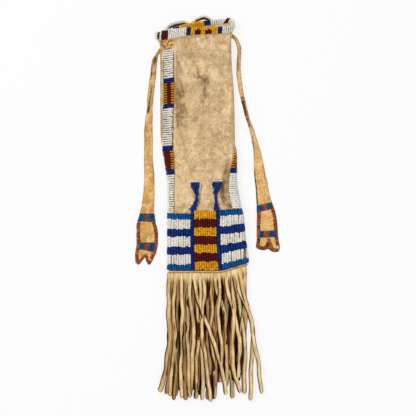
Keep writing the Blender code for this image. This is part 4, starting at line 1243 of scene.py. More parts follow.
def panel_top(s):
    """Station of the panel's top edge at a distance s round the section."""
    return level(PANEL_TOP, spot_of(skin(s, TOP_STATION))[0])


class PIPEBAG_OT_figure_beads(bpy.types.Operator):
    """The dark blue dividers and hourglass figures in rows of beads, and the white beads along their edge"""

    bl_idname = "pipe_bag.figure_beads"
    bl_label = "Figure Beads"

    def execute(self, context):
        beads = settings().beads
        rng = np.random.default_rng(42)
        blue = []
        white = []
        for figure, outlined in ((LEFT_FIGURE, 1.0), (RIGHT_FIGURE, -1.0)):
            widths = [(row[0], row[2]) for row in figure]
            low = np.arange(PANEL_FOOT, -0.024, FIGURE_PITCH / PANEL_HEIGHT)
            high = np.arange(-0.01, figure[-1][0] - 0.003, FIGURE_PITCH / BODY_LENGTH)
            t = np.concatenate([low, high])
            line = curve_of(figure, t) - section(t)[0]
            line = line + rng.uniform(-1, 1, len(t)) * (0.0002 + 0.0004 * (t > 0.03))
            count = np.maximum(2, np.round(2 * level(widths, t) / FIGURE_BEAD)).astype(int)
            half = count * FIGURE_BEAD / 2
            for number in np.unique(count):
                rows = count == number
                ends = (line[rows] - half[rows], line[rows] + half[rows])
                blue.append(string_beads(ends, (t[rows], t[rows]), int(number), FIGURE_PITCH * FIGURE_SNUG,
                                         beads.height))
            top = np.array([figure[-1][0] + OUTLINE_TOP])
            edge = figure[-1][2] + 0.0002
            middle = curve_of(figure, top) - section(top)[0]
            white.append(string_beads((middle - edge, middle + edge), (top, top), OUTLINE_TOP_BEADS,
                                      OUTLINE_BEAD, OUTLINE_TOP_HEIGHT, lift=beads.height / 2))
            down = top - np.arange(1, OUTLINE_SIDE_BEADS + 1) * OUTLINE_STEP / BODY_LENGTH
            beside = curve_of(figure, down) - section(down)[0] + outlined * (level(widths, down) + 0.0008)
            white.append(string_beads((beside - 0.0006, beside + 0.0006), (down, down), 1,
                                      OUTLINE_BEAD, OUTLINE_SIDE_HEIGHT, lift=beads.height / 2))
        nodes = {"blue": ("figure_left", "figure_right"), "white": ()}
        bead_pieces("figure", {"blue": blue, "white": white}, nodes, 81, FIGURE_TONES)
        return {"FINISHED"}


class PIPEBAG_OT_strip_beads(bpy.types.Operator):
    """Both side strips: rows of beads across the strip, in fields, the yellow ones with a maroon bar"""

    bl_idname = "pipe_bag.strip_beads"
    bl_label = "Strip Beads"

    def execute(self, context):
        beads = settings().beads
        found = {"white": [], "blue": [], "yellow": [], "maroon": []}
        darkest = []
        rng = np.random.default_rng(43)
        for flip, drop, setting in STRIPS:
            base = flip * (extreme(TOP_STATION) - curve_of(setting, TOP_STATION))
            x, _ = spot_of(skin(base, TOP_STATION))
            stops = BODY_LENGTH - drop - running([length for _, length in STRIP_FIELDS])
            stops[-1] = height_of(panel_top(base), x) + GAP
            for number, (colour, _) in enumerate(STRIP_FIELDS):
                upper, lower = stops[number], stops[number + 1]
                rows = max(2, int(round((upper - lower) / STRIP_PITCH)))
                pitch = (upper - lower) / rows
                t = station_of(upper - pitch * (np.arange(rows) + 0.5), x)
                middle = flip * (extreme(t) - curve_of(setting, t)) + rng.normal(0, 0.00015, rows)
                tilt = rng.normal(0, 0.0011, rows)
                width, height, loose = STRIP_ROWS[colour], beads.height, 1.0
                runs = ((0, STRIP_BEADS, colour),)
                if colour == "yellow":
                    runs, loose = YELLOW_RUNS, 0.8
                if flip < 0 and abs(number - FOLDED_FIELD) <= 1:
                    height = 0.75 * height
                    runs = FOLDED_RUNS if number == FOLDED_FIELD else runs
                if flip < 0 and colour == "white":
                    width, loose = (width, 0.56) if number == LAST_FIELD else (0.93 * width, 0.88)
                    runs = TURNED_RUNS
                for first, count, tint in runs:
                    u0, u1 = first / STRIP_BEADS - 0.5, (first + count) / STRIP_BEADS - 0.5
                    snug = np.minimum(rng.uniform(*STRIP_SNUG[tint], rows) + 0.05 * (1 + flip), 1.0)
                    snug = snug * (loose if first == 0 else 1.0)
                    found[tint].append(string_beads((middle + width * u0, middle + width * u1),
                                                    (t + tilt * u0, t + tilt * u1), count, pitch * snug,
                                                    height))
                    if tint == "white":
                        # Left strip whites are painted darker as shade where the strip turns round the edge,
                        # darkest in the last field.
                        least = 0.7 if flip > 0 else 0.0 if number == LAST_FIELD else 0.2
                        darkest.append(np.full(rows * count, least))
        nodes = {colour: [] for colour in found}
        for hand in ("left", "right"):
            fields = nodes_by_colour([colour for colour, _ in STRIP_FIELDS], f"strip_{hand}_{{number}}")
            for colour, names in fields.items():
                nodes[colour] += names
            nodes["maroon"] += [name + "_bar" for name in fields["yellow"]]
        bead_pieces("strip", found, nodes, 90, {**STRIP_TONES, "white": (np.concatenate(darkest), 1.0)})
        return {"FINISHED"}


def roll_point(s, angle, inset=0.0):
    """Points of the rim's oval roll: s round the mouth, angle 0 facing outwards and 90 past the lip.

    The roll is thinner towards the right and along the back, where its outer line stays and its inner
    side draws in.
    """
    _, flat, radius = section(1.0)
    s = wrapped(s, 4 * flat + 2 * math.pi * radius)
    arc = np.clip((np.abs(s) - flat) / radius, 0.0, math.pi)
    outward = np.stack([np.sign(s) * np.sin(arc), np.zeros_like(arc), np.cos(arc)], axis=-1)
    place = skin(s, 1.0, -HIDE / 2)
    x, _ = spot_of(place)
    narrow = np.where(arc < math.pi / 2, level(FRONT_ROLL, x), level(BACK_ROLL, x))
    narrow = narrow + (0.5 * (level(FRONT_ROLL, x) + level(BACK_ROLL, x)) - narrow) * np.sin(arc) ** 4
    tall = RIM_HEIGHT * narrow
    shift = -np.cos(arc) * (RIM_HEIGHT - tall) / 2
    half_thick = (RIM_THICK / 2 - inset) * np.cos(angle)
    half_height = (tall / 2 - inset) * np.sin(angle) + shift
    along = np.array((0.0, 1.0, 0.0))
    return place + outward * half_thick[..., None] + along * half_height[..., None]


class PIPEBAG_OT_rim_beads(bpy.types.Operator):
    """The rolled rim: strings wound round an oval roll, in fields, with two pointed figures in front"""

    bl_idname = "pipe_bag.rim_beads"
    bl_label = "Rim Beads"

    def execute(self, context):
        loop = float(girth(1.0))
        lengths = np.array([length for _, length in RIM_FIELDS])
        stops = RIM_START + RIM_SHIFT + np.cumsum(lengths * loop / lengths.sum())
        strings = int(round(loop / (RIM_FIGURES[1] - RIM_FIGURES[0]) * RIM_STEP))
        start = RIM_START + RIM_SHIFT
        s = (RIM_FIGURES[0] + loop * np.arange(strings) / strings - start) % loop + start
        field = np.minimum(np.searchsorted(stops, s), len(stops) - 1)
        colours = np.array([colour for colour, _ in RIM_FIELDS])[field]
        rng = np.random.default_rng(47)
        angle = np.radians(RIM_FIRST + 360 * middles(RIM_BEADS))
        calm = np.min(np.abs(s[:, None] - np.array(RIM_FIGURES)), axis=1) < RIM_FIGURE_WIDTH
        angle = angle[None] + np.where(calm, 0.0, rng.normal(0, 0.05, strings))[:, None]
        twist, twist_at, reach = RIM_TWIST
        slant = RIM_SLANT + rng.normal(0, RIM_STRAY, strings) - twist * bell((s - twist_at) / reach)
        slant = slant[:, None]
        place = s[:, None] + slant * np.sin(angle)
        step = 0.02
        middle = roll_point(place, angle, RIM_INSET)
        along = unit(roll_point(place + slant * np.cos(angle) * step, angle + step, RIM_INSET)
                     - roll_point(place - slant * np.cos(angle) * step, angle - step, RIM_INSET))
        beside = roll_point(place + 0.0003, angle, RIM_INSET) - roll_point(place - 0.0003, angle, RIM_INSET)
        stretch = np.linalg.norm(beside, axis=-1) / 0.0006
        up = unit(np.cross(beside, along))
        outward = middle - roll_point(place, angle, RIM_THICK / 2)
        up = up * np.sign(np.sum(up * outward, axis=-1, keepdims=True))
        side = unit(np.cross(along, up))
        gap = np.linalg.norm(np.roll(middle, -1, axis=1) - middle, axis=-1)
        gap = (gap + np.roll(gap, 1, axis=1)) / 2
        white_snug, snug = rng.uniform(*RIM_SNUG_WHITE, strings), rng.uniform(*RIM_SNUG, strings)
        snug = np.where(colours == "white", white_snug, snug)
        x, _ = spot_of(middle)
        loose_at, reach, ramp = RIM_LOOSE
        snug = snug * (1 - RIM_LOOSENESS * ease((np.abs(x[:, 0] - loose_at) - reach) / ramp))
        wide = loop / strings / 2 * snug[:, None] * np.clip(stretch, 0.7, 1.0)
        half = np.stack([gap / 2, wide, np.full_like(gap, RIM_INSET)], axis=-1)
        tint = np.repeat(colours[:, None], RIM_BEADS, axis=1)
        for figure in RIM_FIGURES:
            aside = np.abs(s - figure)[:, None]
            peak = np.radians(np.where(aside < loop / strings / 2, *RIM_PEAKS))
            inside = (aside < RIM_FIGURE_WIDTH / 2) & (angle < peak) & (angle > np.radians(RIM_FOOT))
            tint = np.where(inside, "maroon", tint)
        nodes = nodes_by_colour([colour for colour, _ in RIM_FIELDS], "rim_{number:02d}_{colour}")
        nodes["maroon"] += ["rim_figure_1", "rim_figure_2"]
        # Strings round the back get lighter tones: painted light where the front of the roll shades them.
        behind = np.repeat((np.abs(wrapped(s, loop)) > loop / 4)[:, None], RIM_BEADS, axis=1)
        left = x[:, RIM_BEADS // 2] < LOST_RIM_END
        lost = left[:, None] & (np.arange(strings)[:, None] % 2 == 0)
        found, tones = {}, {}
        for colour in nodes:
            pick = (tint == colour) & ~lost
            found[colour] = [(middle[pick], along[pick], side[pick], up[pick], half[pick])]
            low, high = RIM_TONES[colour]
            tones[colour] = (np.where(behind, max(low, high - 0.2), low)[pick], high)
        bead_pieces("rim", found, nodes, 100, tones)
        self.core(loop)
        return {"FINISHED"}

    def core(self, loop):
        """The rolled hide under the strings: the same oval roll, drawn in."""
        rows, around = 160, 16
        s = np.linspace(0, loop, rows, endpoint=False)[:, None]
        angle = np.linspace(0, 2 * math.pi, around, endpoint=False)[None]
        s, angle = np.broadcast_arrays(s, angle)
        points = roll_point(s, angle, CORE_INSET)
        quads = grid_quads(rows + 1, around, closed=True) % (rows * around)
        # The whole roll takes the dark soil and painted shade of the hide under the beads.
        dress(mesh_object("rim_core", points, quads, pouch_suede(), under=np.ones(rows * around)), "hide")


class PIPEBAG_OT_seam_welt(bpy.types.Operator):
    """The rolled hide edge under the panel, with its row of stitches"""

    bl_idname = "pipe_bag.seam_welt"
    bl_label = "Seam Welt"

    def execute(self, context):
        middle, flat, radius = section(-1.0)
        rows, around = 260, 14
        x = np.linspace(middle - flat - WELT_END, middle + flat + WELT_END, rows)
        axis = placed(x, -seam_depth(x) - WELT_ROLL, SEAM_LIFT + radius + WELT_LIFT)
        closing = np.sqrt(np.clip(1 - (np.abs(np.linspace(-1, 1, rows)) - 0.985) / 0.015, 0.02, 1))
        size = WELT_ROLL * closing * (1 + 0.1 * ripples(x, 0 * x, 11, 10, 0.003, 0.012))
        turn = np.linspace(0, 2 * math.pi, around, endpoint=False)
        ring = np.stack([0 * turn, np.cos(turn), np.sin(turn)], axis=-1)
        points = axis[:, None] + ring[None] * size[:, None, None]
        points[0] = axis[0]
        points[-1] = axis[-1]
        quads = grid_quads(rows, around, closed=True)
        stain = 0.1 + 0.4 * ripples(x, 0 * x, 12, 12, 0.003, 0.012)
        stain = np.clip(np.repeat(stain[:, None], around, axis=1), 0, 1)
        piece = mesh_object("welt_roll", points, quads, pouch_suede(), stain=stain, pale=1.0 - stain)
        dress(piece, "hide", "seam_welt")
        self.stitches(x[6:-6], radius)
        return {"FINISHED"}

    def stitches(self, x, radius):
        """Short slanting turns of dark sinew along the lower side of the welt."""
        rng = np.random.default_rng(51)
        count = int((x[-1] - x[0]) / STITCH_STEP)
        x = np.linspace(x[0], x[-1], count) + rng.normal(0, 0.0002, count)
        middle = placed(x, -seam_depth(x) - 2 * WELT_ROLL - 0.0002, SEAM_LIFT + radius + STITCH_LIFT)
        along = unit(np.stack([1.0 + 0 * x, rng.uniform(0.1, 0.5, count), 0 * x], axis=-1))
        parts = [flat_beads(middle, along, np.tile(STITCH, (count, 1)))]
        sinew = two_toned("dark_sinew", 0.7, (800.0, 3.0, 0.3, 0.7), SINEW)
        dress(bead_piece("welt_stitches", parts, sinew, 52), "hide")


def strand_hide():
    """Cut hide of the fringe: a painted highlight along the middle, brown in patches, painted shade along the
    edges and deep in the heap.
    """
    name = "fringe_hide"
    if name in bpy.data.materials:
        return bpy.data.materials[name]
    fringe = settings().fringe
    material, shader = new_material(name, 0.9)
    tree = material.node_tree
    tone = painted(tree, "tone")
    streaky = clouds(tree, 230.0, 4.0, 0.44, 0.62, stretch=(2.4, 0.6, 1.0), place=(2.0, 7.0, 1.0))
    brown = clouds(tree, 130.0, 4.0, 0.45, 0.6, stretch=(3.4, 0.6, 1.0), place=(5.0, 1.0, 2.0))
    nicks = clouds(tree, 600.0, 3.0, 0.52, 0.7, stretch=(1.6, 0.7, 1.0), place=(1.0, 4.0, 2.0))
    coats = [(tone, fringe.light, 1.0),
             (clouds(tree, 90.0, 4.0, 0.42, 0.62, stretch=(2.4, 0.8, 1.0)), fringe.base, 0.45),
             (times(tree, streaky, tone), fringe.light, 1.0),
             (brown, fringe.brown, 0.42),
             (nicks, fringe.brown, 0.34)]
    for label in ("depth", "edge"):
        shade = painted(tree, label)
        coats += [(shade, fringe.brown, 0.9), (times(tree, shade, 3.0, "POWER"), fringe.dark, 1.0)]
    cover(tree, shader, layered(tree, fringe.base, coats), 0.06, 900.0, 0.0003)
    return material


class PIPEBAG_OT_fringe(bpy.types.Operator):
    """The fringe: flat strands that bend, cross and twist down from two hide headers"""

    bl_idname = "pipe_bag.fringe"
    bl_label = "Fringe"

    def execute(self, context):
        rng = np.random.default_rng(61)
        deep = self.filling(rng, *FRONT_FILLING)
        self.piece("front", FRONT_STRANDS + (STRAY_RIGHT,) + deep, rng, FRONT_LIE, 1.0)
        self.piece("back", self.filling(rng, *BACK_FILLING), rng, BACK_LIE, BACK_SPREAD)
        self.headers()
        return {"FINISHED"}

    def filling(self, rng, count, first, step, last_first, last_step, ends, order):
        """Strands deeper in the heap, evenly spaced at the root and at the end, each with its own sway."""
        rows = []
        for k in range(count):
            root = first + step * k
            last = last_first + last_step * k + rng.uniform(-FILLING_END_STRAY, FILLING_END_STRAY)
            sway = rng.uniform(-FILLING_SWAY, FILLING_SWAY, 4)
            line = root + (last - root) * np.array((0.1, 0.3, 0.55, 0.8)) + sway
            end = rng.uniform(*ends) - (FILLING_LAG if k > 0.6 * count else 0.0)
            rows.append((root, *line, last, end, order))
        return tuple(rows)

    def piece(self, row, table, rng, low, spread):
        """The strands of one row as a piece."""
        points, quads, values = self.strands(table, rng, low, spread)
        piece = mesh_object("fringe_strands_" + row, points, quads, strand_hide(), **values)
        dress(piece, "hide", "fringe_" + row)

    def strands(self, table, rng, low, spread):
        """Each strand follows a cubic through its places, with its own wave, roll and height in the heap."""
        fringe = settings().fringe
        u = np.array(STRAND_ACROSS)
        q = np.linspace(0, 1, STRAND_POINTS)
        tops, bottoms = [], []
        values = {"tone": [], "edge": [], "depth": []}
        shading = np.random.default_rng(62)
        for *places, end, order in table:
            stations = np.append(STRAND_ROWS, end)
            latest = end - LEAST_ROW_STEP * np.arange(len(STRAND_ROWS), 0, -1)
            stations[:-1] = np.minimum(stations[:-1], latest)
            root_x, _ = from_pixel(places[0], 0.0)
            stations[0] = ZERO_PIXEL[1] + (seam_depth(root_x) + 2 * WELT_ROLL + ROOT_DROP) / PIXEL
            y_pixel = stations[0] + (end - stations[0]) * q
            x, y = from_pixel(flow(stations, places, y_pixel), y_pixel)
            bend = STRAND_WAVE * wave(q, rng.uniform(1.5, 3.5), rng.uniform())
            kink = STRAND_KINK * wave(q, shading.uniform(4.0, 7.0), shading.uniform())
            x = x + (bend + kink) * ease(q * 5)
            lie = low + HEAP_STEP * order + STRAND_SWELL * wave(q, rng.uniform(1, 2.5), rng.uniform())
            root_z = SEAM_LIFT + float(section(-1.0)[2]) + (FRONT_ROOT if order else BACK_ROOT)
            lie = np.maximum(lie + (root_z - lie) * (1 - ease(q * 7)), LEAST_LIE)
            roll = STRAND_ROLL * wave(q, rng.uniform(0.8, 2.2), rng.uniform()) * ease(q * 6)
            roll = roll + rng.choice((-1, 1)) * STRAND_TWIST * bell((q - rng.uniform(0.2, 0.9)) / 0.07)
            path = placed(x, y, lie)
            heading = unit(np.gradient(path, axis=0))
            flat = unit(np.cross(heading, np.array((0.0, 0.0, 1.0))))
            over = np.cross(flat, heading)
            side = flat * np.cos(roll)[:, None] + over * np.sin(roll)[:, None]
            up = np.cross(side, heading)
            half = spread * fringe.width / 2 * (0.92 + 0.1 * ease(q * 3)) * rng.uniform(0.84, 1.12)
            half = half * np.sqrt(np.clip((1 - q) / 0.02 + 0.15, 0, 1))
            path[:, 2] = np.maximum(lie, half * np.abs(np.sin(roll)) + fringe.thickness / 2 + 0.0002)
            dome = fringe.thickness / 2 * (1 - 0.6 * u ** 4)
            line = path[:, None] + side[:, None] * (half[:, None] * u[None])[..., None]
            tops.append(line + up[:, None] * dome[None, :, None])
            bottoms.append(line - up[:, None] * dome[None, :, None])
            # The tone is random along the strand, with a painted highlight a little left of its middle;
            # deeper strands are painted darker as shade.
            tone = rng.uniform(0.45, 1.1) + 0.2 * np.sin(rng.uniform(6, 14) * q + rng.uniform(0, 6))
            lit = 0.75 * bell((u + 0.18) / 0.45) - 0.12
            tone = np.clip((tone[:, None] + lit[None]) * (1 - 0.8 * STRAND_DEPTH[order]), 0, 1)
            sunk = STRAND_DEPTH[order] * ease((q - 0.02) / 0.07)
            # Painted shade along the edges, wider on the right side, away from the key lamp.
            right, left = shading.uniform(0.1, 0.5), shading.uniform(0.5, 0.8)
            shaded = np.where(u > 0, ease((u - right) / 0.45), ease((-u - left) / 0.35))
            edge = shaded[None] * ease((q[:, None] - 0.02) / 0.06)
            ring = np.concatenate([edge, np.ones_like(edge)], axis=1)
            values["tone"].append(np.concatenate([tone, tone[:, ::-1]], axis=1))
            values["edge"].append(ring)
            values["depth"].append(np.repeat(sunk[:, None], 2 * len(u), axis=1))
        points, quads = slabs(np.array(tops), np.array(bottoms))
        return points, quads, {key: np.array(rows) for key, rows in values.items()}

    def headers(self):
        """The uncut bands under the welt that the strands are cut from: a low wave along the cut."""
        fringe = settings().fringe
        middle, flat, radius = section(-1.0)
        columns, rows = 160, 9
        u = np.linspace(0, 1, columns)[None]
        v = np.linspace(0, 1, rows)[:, None]
        x = middle + (flat + HEADER_END) * (2 * u - 1) + 0 * v
        thick = np.array((0.0, 0.0, fringe.thickness * HEADER_THICK))
        for row, shift in HEADER_SHIFTS:
            pleat = PLEAT * np.sin(2 * math.pi * x / PLEAT_LENGTH) * v
            y = -seam_depth(x) - WELT_ROLL - HEADER_HEIGHT * v
            z = SEAM_LIFT + radius + shift - HEADER_SINK * v + pleat
            band = placed(x, y, z)[::-1]
            points, quads = slabs((band + thick)[None], (band - thick)[None])
            tone = 0.8 + 0.4 * ripples(points[..., 0], 0 * points[..., 0], 13, 12, 0.003, 0.01)
            tone = np.clip(tone, 0, 1)
            dress(mesh_object("fringe_header_" + row, points, quads, strand_hide(), tone=tone), "hide")


def strap_surface(points, widths, roll):
    """A function that gives points of a strap from the distance along it, the share across and the lift."""
    points = np.array(points)
    reach = running(np.linalg.norm(np.diff(points, axis=0), axis=1))

    def place(d):
        return np.stack([flow(reach, points[:, axis], d) for axis in range(3)], axis=-1)

    def surface(d, u, lift=0.0):
        step = 0.0005
        heading = unit(place(d + step) - place(d - step))
        flat = unit(np.stack([-heading[..., 1], heading[..., 0], np.zeros(d.shape)], axis=-1))
        over = np.cross(heading, flat)
        angle = roll(d)[..., None]
        side = flat * np.cos(angle) + over * np.sin(angle)
        up = np.cross(side, heading)
        up = up * np.where(up[..., 2:] < 0, -1.0, 1.0)
        width = flow(reach, widths, d)
        aside = side * (width * (u - 0.5))[..., None]
        return place(d) + aside + up * np.asarray(lift)[..., None], width

    return surface, reach


class PIPEBAG_OT_ties(bpy.types.Operator):
    """The two ties: flat straps with one turn, ending in forked tabs with bands and beaded edges"""

    bl_idname = "pipe_bag.ties"
    bl_label = "Ties"

    def execute(self, context):
        self.tie("left", LEFT_TIE_ROOT, -1.0, LEFT_TIE, LEFT_TWIST, LEFT_FORK, LEFT_FORK, LEFT_BANDS,
                 LEFT_SOIL_AND_SHADE)
        self.tie("right", RIGHT_TIE_ROOT, 1.0, RIGHT_TIE, RIGHT_TWIST, RIGHT_FORK, RIGHT_NOTCH,
                 RIGHT_BANDS, RIGHT_SOIL_AND_SHADE)
        return {"FINISHED"}

    def tie(self, hand, root_t, flip, route, twist, fork, notch, bands, soil_and_shade):
        """Out from under the pouch's edge, down to the surface, then flat to the tab."""
        thick = settings().ties.thickness
        root = skin(flip * (float(extreme(root_t)) + TIE_TUCK), root_t, GAP + thick / 2) + REST
        points, widths = [tuple(root)], [route[0][2]]
        rest_z = thick / 2 + GAP
        for x, below, width in route:
            y = BODY_LENGTH - below
            drop = float(ease((root[1] - y) / TIE_FALL))
            standing = TIE_STAND * (1 - float(ease((root[1] - y) / STAND_REACH)))
            twisting = math.sin(TIE_TURN) * float(bell((below - twist) / TWIST_RISE_REACH))
            raised = rest_z + width / 2 * max(standing, twisting)
            points.append((x, y, raised + (root[2] - raised) * (1 - drop)))
            widths.append(width)
        points = np.array(points) - REST
        spans = np.linalg.norm(np.diff(points, axis=0), axis=1)
        nearest = min(range(len(route)), key=lambda i: abs(route[i][1] - twist))
        turn_at = float(np.sum(spans[:1 + nearest]))

        def roll(d):
            tucked = flip * TUCK_TURN * (1 - ease(d / TUCK_REACH))
            return tucked + TIE_TURN * bell((d - turn_at) / TWIST_REACH)

        surface, reach = strap_surface(points, widths, roll)
        rows, columns = 300, 33
        u = np.linspace(0, 1, columns)
        cut_back = np.interp(u, *np.array(fork).T)
        d = np.linspace(0, 1, rows)[:, None] * (reach[-1] - cut_back)[None]
        share = np.broadcast_to(u[None], d.shape)
        width = flow(reach, widths, d)
        ragged = TIE_RAGGED * ripples(d * 1.0, share * 0.01, 71 + int(flip), 12, 0.003, 0.012)
        dome = thick / 2 * (1 - 0.6 * np.abs(2 * share - 1) ** 6)
        across = share + ragged / np.maximum(width, 0.003)
        top, bottom = surface(d, across, dome)[0], surface(d, across, -dome)[0]
        sunk = np.maximum(0.0001 - bottom[..., 2:], 0.0) * (0.0, 0.0, 1.0)
        top, bottom = top + sunk, bottom + sunk
        mesh_points, quads = slabs(top[None], bottom[None])
        tab = ease((d - (reach[-1] - TAB_LENGTH)) / 0.006)
        from_side = np.minimum(share, 1 - share) * width
        from_end = (reach[-1] - cut_back)[None] - d
        # Painted shade along the cut edges: dark all round the tab, fainter along the strap's sides.
        outline = 1 - ease(np.minimum(from_side, 0.7 * from_end) / 0.0011 - 0.4)
        rim_line = 0.55 * (1 - ease(from_side / 0.0009 - 0.2))
        x, y = spot_of(top)
        # Darker near the root, then the table's soil and painted shade.
        stain = np.clip(0.25 * bell((d - 0.02) / 0.025) + streaks(x, y, soil_and_shade), 0, 1)
        values = {"edge": np.maximum(outline * tab, rim_line * (1 - tab)), "stain": stain,
                  "pale": 0.5 + 0.5 * flip + 0 * stain}
        values = {key: np.concatenate([row, row[:, ::-1]], axis=1) for key, row in values.items()}
        piece = mesh_object(f"tie_strap_{hand}", mesh_points, quads, self.thong_hide(), **values)
        dress(piece, "thong", f"tie_{hand}")
        self.edging(hand, surface, reach, np.interp(u, *np.array(notch).T), u, flip)
        self.bands(hand, surface, reach, bands, route)

    def edging(self, hand, surface, reach, cut_back, u, flip):
        """Beads along the tab's outline, a bead's width in from the cut edge."""
        runs = []
        for side, stop in ((0.0, cut_back[0]), (1.0, cut_back[-1])):
            d = np.arange(reach[-1] - EDGING_LENGTH, reach[-1] - stop - EDGING_INSET, EDGING_STEP)
            width = surface(d, 0.5)[1]
            runs.append((d, np.abs(side - EDGING_INSET / width)))
        share = np.linspace(0.1, 0.9, 24)
        runs.append((reach[-1] - np.interp(share, u, cut_back) - EDGING_INSET, share))
        parts = []
        for d, share in runs:
            middle, _ = surface(d, share, EDGING_LIFT)
            ahead = unit(np.gradient(middle, axis=0))
            parts.append(flat_beads(middle, ahead, np.tile(EDGING_BEAD, (len(d), 1))))
        glass = bead_glass("tab_edge_beads", settings().ties.edge, TAB_EDGE_DEPTH, TAB_ROUGHNESS)
        dress(bead_piece(f"tie_edge_beads_{hand}", parts, glass, 110 + int(flip), (0.0, 0.9)), "thong")

    def bands(self, hand, surface, reach, bands, route):
        """Rows of beads across the tab: blue, red and blue."""
        ties = settings().ties
        below = np.array([row[1] for row in route])
        found = {"blue": [], "red": []}
        for top, foot, lo, red_lo, red_hi, hi, slant in bands:
            y = foot + (top - foot) * middles(int(round((top - foot) / BAND_STEP)))
            for start, end, colour in ((lo, red_lo, "blue"), (red_lo, red_hi, "red"), (red_hi, hi, "blue")):
                columns = BAND_COLUMNS[colour]
                share = start + (end - start) * middles(columns)
                grid_y, grid_u = np.meshgrid(y, share, indexing="ij")
                grid_y = grid_y + slant * (grid_u - 0.5)
                grid_d = np.interp(BODY_LENGTH - grid_y, below, reach[1:])
                middle, width = surface(grid_d, grid_u, BAND_LIFT)
                other, _ = surface(grid_d, grid_u + 0.01, BAND_LIFT)
                size = (width * (end - start) / columns / 2).ravel()
                half = np.column_stack([size, np.tile(BAND_BEAD, (len(size), 1))])
                along = unit(other - middle).reshape(-1, 3)
                found[colour].append(flat_beads(middle.reshape(-1, 3), along, half))
        for seed, (colour, bits) in enumerate(found.items()):
            glass = bead_glass("tab_band_" + colour, getattr(ties, colour), TAB_BAND_DEPTH, TAB_ROUGHNESS)
            slot = "beads_light_blue" if colour == "blue" else "thong"
            dress(bead_piece(f"tie_band_{colour}_{hand}", bits, glass, 120 + seed), slot)

    def thong_hide(self):
        """Hide of the ties: warm tan with soft clouds, soil and painted shade from the piece, and painted
        shade nearly black on the tab's outline.
        """
        name = "tie_hide"
        if name in bpy.data.materials:
            return bpy.data.materials[name]
        base = np.array(settings().hide.thong)
        material, shader = new_material(name, 0.9)
        tree = material.node_tree
        pale = clouds(tree, 150.0, 4.0, 0.46, 0.62, place=(2.0, 4.0, 1.0))
        # Soil and painted shade from the piece's stain values.
        soil_and_shade_coat = times(tree, painted(tree, "stain"), clouds(tree, 260.0, 4.0, 0.2, 0.48))
        # The worn coat is painted shade along the cut edges.
        worn = times(tree, painted(tree, "edge"), clouds(tree, 500.0, 3.0, 0.1, 0.4))
        colour = layered(tree, base, (
            (clouds(tree, 60.0, 4.0, 0.42, 0.6), base * (0.66, 0.56, 0.46), 0.7),
            (pale, np.minimum(base * (1.25, 1.45, 2.0), 1), 0.8),
            (painted(tree, "pale"), np.minimum(base * (1.2, 1.3, 1.6), 1), 0.4),
            (clouds(tree, 420.0, 3.0, 0.46, 0.64), base * (0.6, 0.5, 0.4), 0.55),
            (veins(tree, 230.0, 0.01), base * (0.5, 0.38, 0.25), 0.5),
            (soil_and_shade_coat, TIE_SOIL_AND_SHADE, 0.94),
            (worn, TIE_EDGE_SHADE, 0.9)))
        cover(tree, shader, colour, 0.1, 800.0, 0.0003)
        return material


class PIPEBAG_OT_hanging_thong(bpy.types.Operator):
    """The pale thong in two loops behind the back lip, and a dark sheet inside them as painted shadow"""

    bl_idname = "pipe_bag.hanging_thong"
    bl_label = "Hanging Thong"

    def execute(self, context):
        u = np.linspace(-1, 1, 7)[None]
        straps, shadow_sheets = [], []
        for loop in LOOPS:
            table = np.array(loop)
            x, y = from_pixel(table[:, 0], table[:, 1])
            reach = running(np.hypot(np.diff(x), np.diff(y)))
            d = np.linspace(0, reach[-1], 60)
            line = np.stack([flow(reach, x, d), flow(reach, y, d)], axis=-1)
            ahead = unit(np.gradient(line, axis=0))
            aside = np.stack([ahead[:, 1], -ahead[:, 0]], axis=-1)
            half = flow(reach, table[:, 2] * PIXEL / 2, d)[:, None]
            place = line[:, None] + aside[:, None] * (half * u)[..., None]
            straps.append(placed(place[..., 0], place[..., 1], LOOP_LIFT + LOOP_DOME * (1 - u ** 4)))
            # A dark sheet under each loop stands in for the shadow inside it.
            below = 0.6 * half + SHADOW_SHEET_DROP * (u + 1) / 2
            shadow_sheets.append(placed(line[:, :1], line[:, 1:] - below, SHADOW_SHEET_LIFT))
        pale = two_toned("pale_thong", 0.9, (260.0, 4.0, 0.4, 0.66), PALE_THONG)
        dark = two_toned("dark_lining", 0.95, (400.0, 3.0, 0.3, 0.7), LOOP_SHADE_COLOURS)
        dress(self.both("hanging_thong_loops", straps, LOOP_THICK, pale), "thong", "hanging_thong")
        dress(self.both("loop_lining", shadow_sheets, SHADOW_SHEET_THICK, dark), "hide")
        return {"FINISHED"}

    def both(self, name, tops, thick, material):
        """Both loops of the thong or both sheets of painted shadow inside them, so thick, from the grids of
        their upper sides.
        """
        tops = np.array(tops)
        return mesh_object(name, *slabs(tops, tops - (0.0, 0.0, thick)), material)


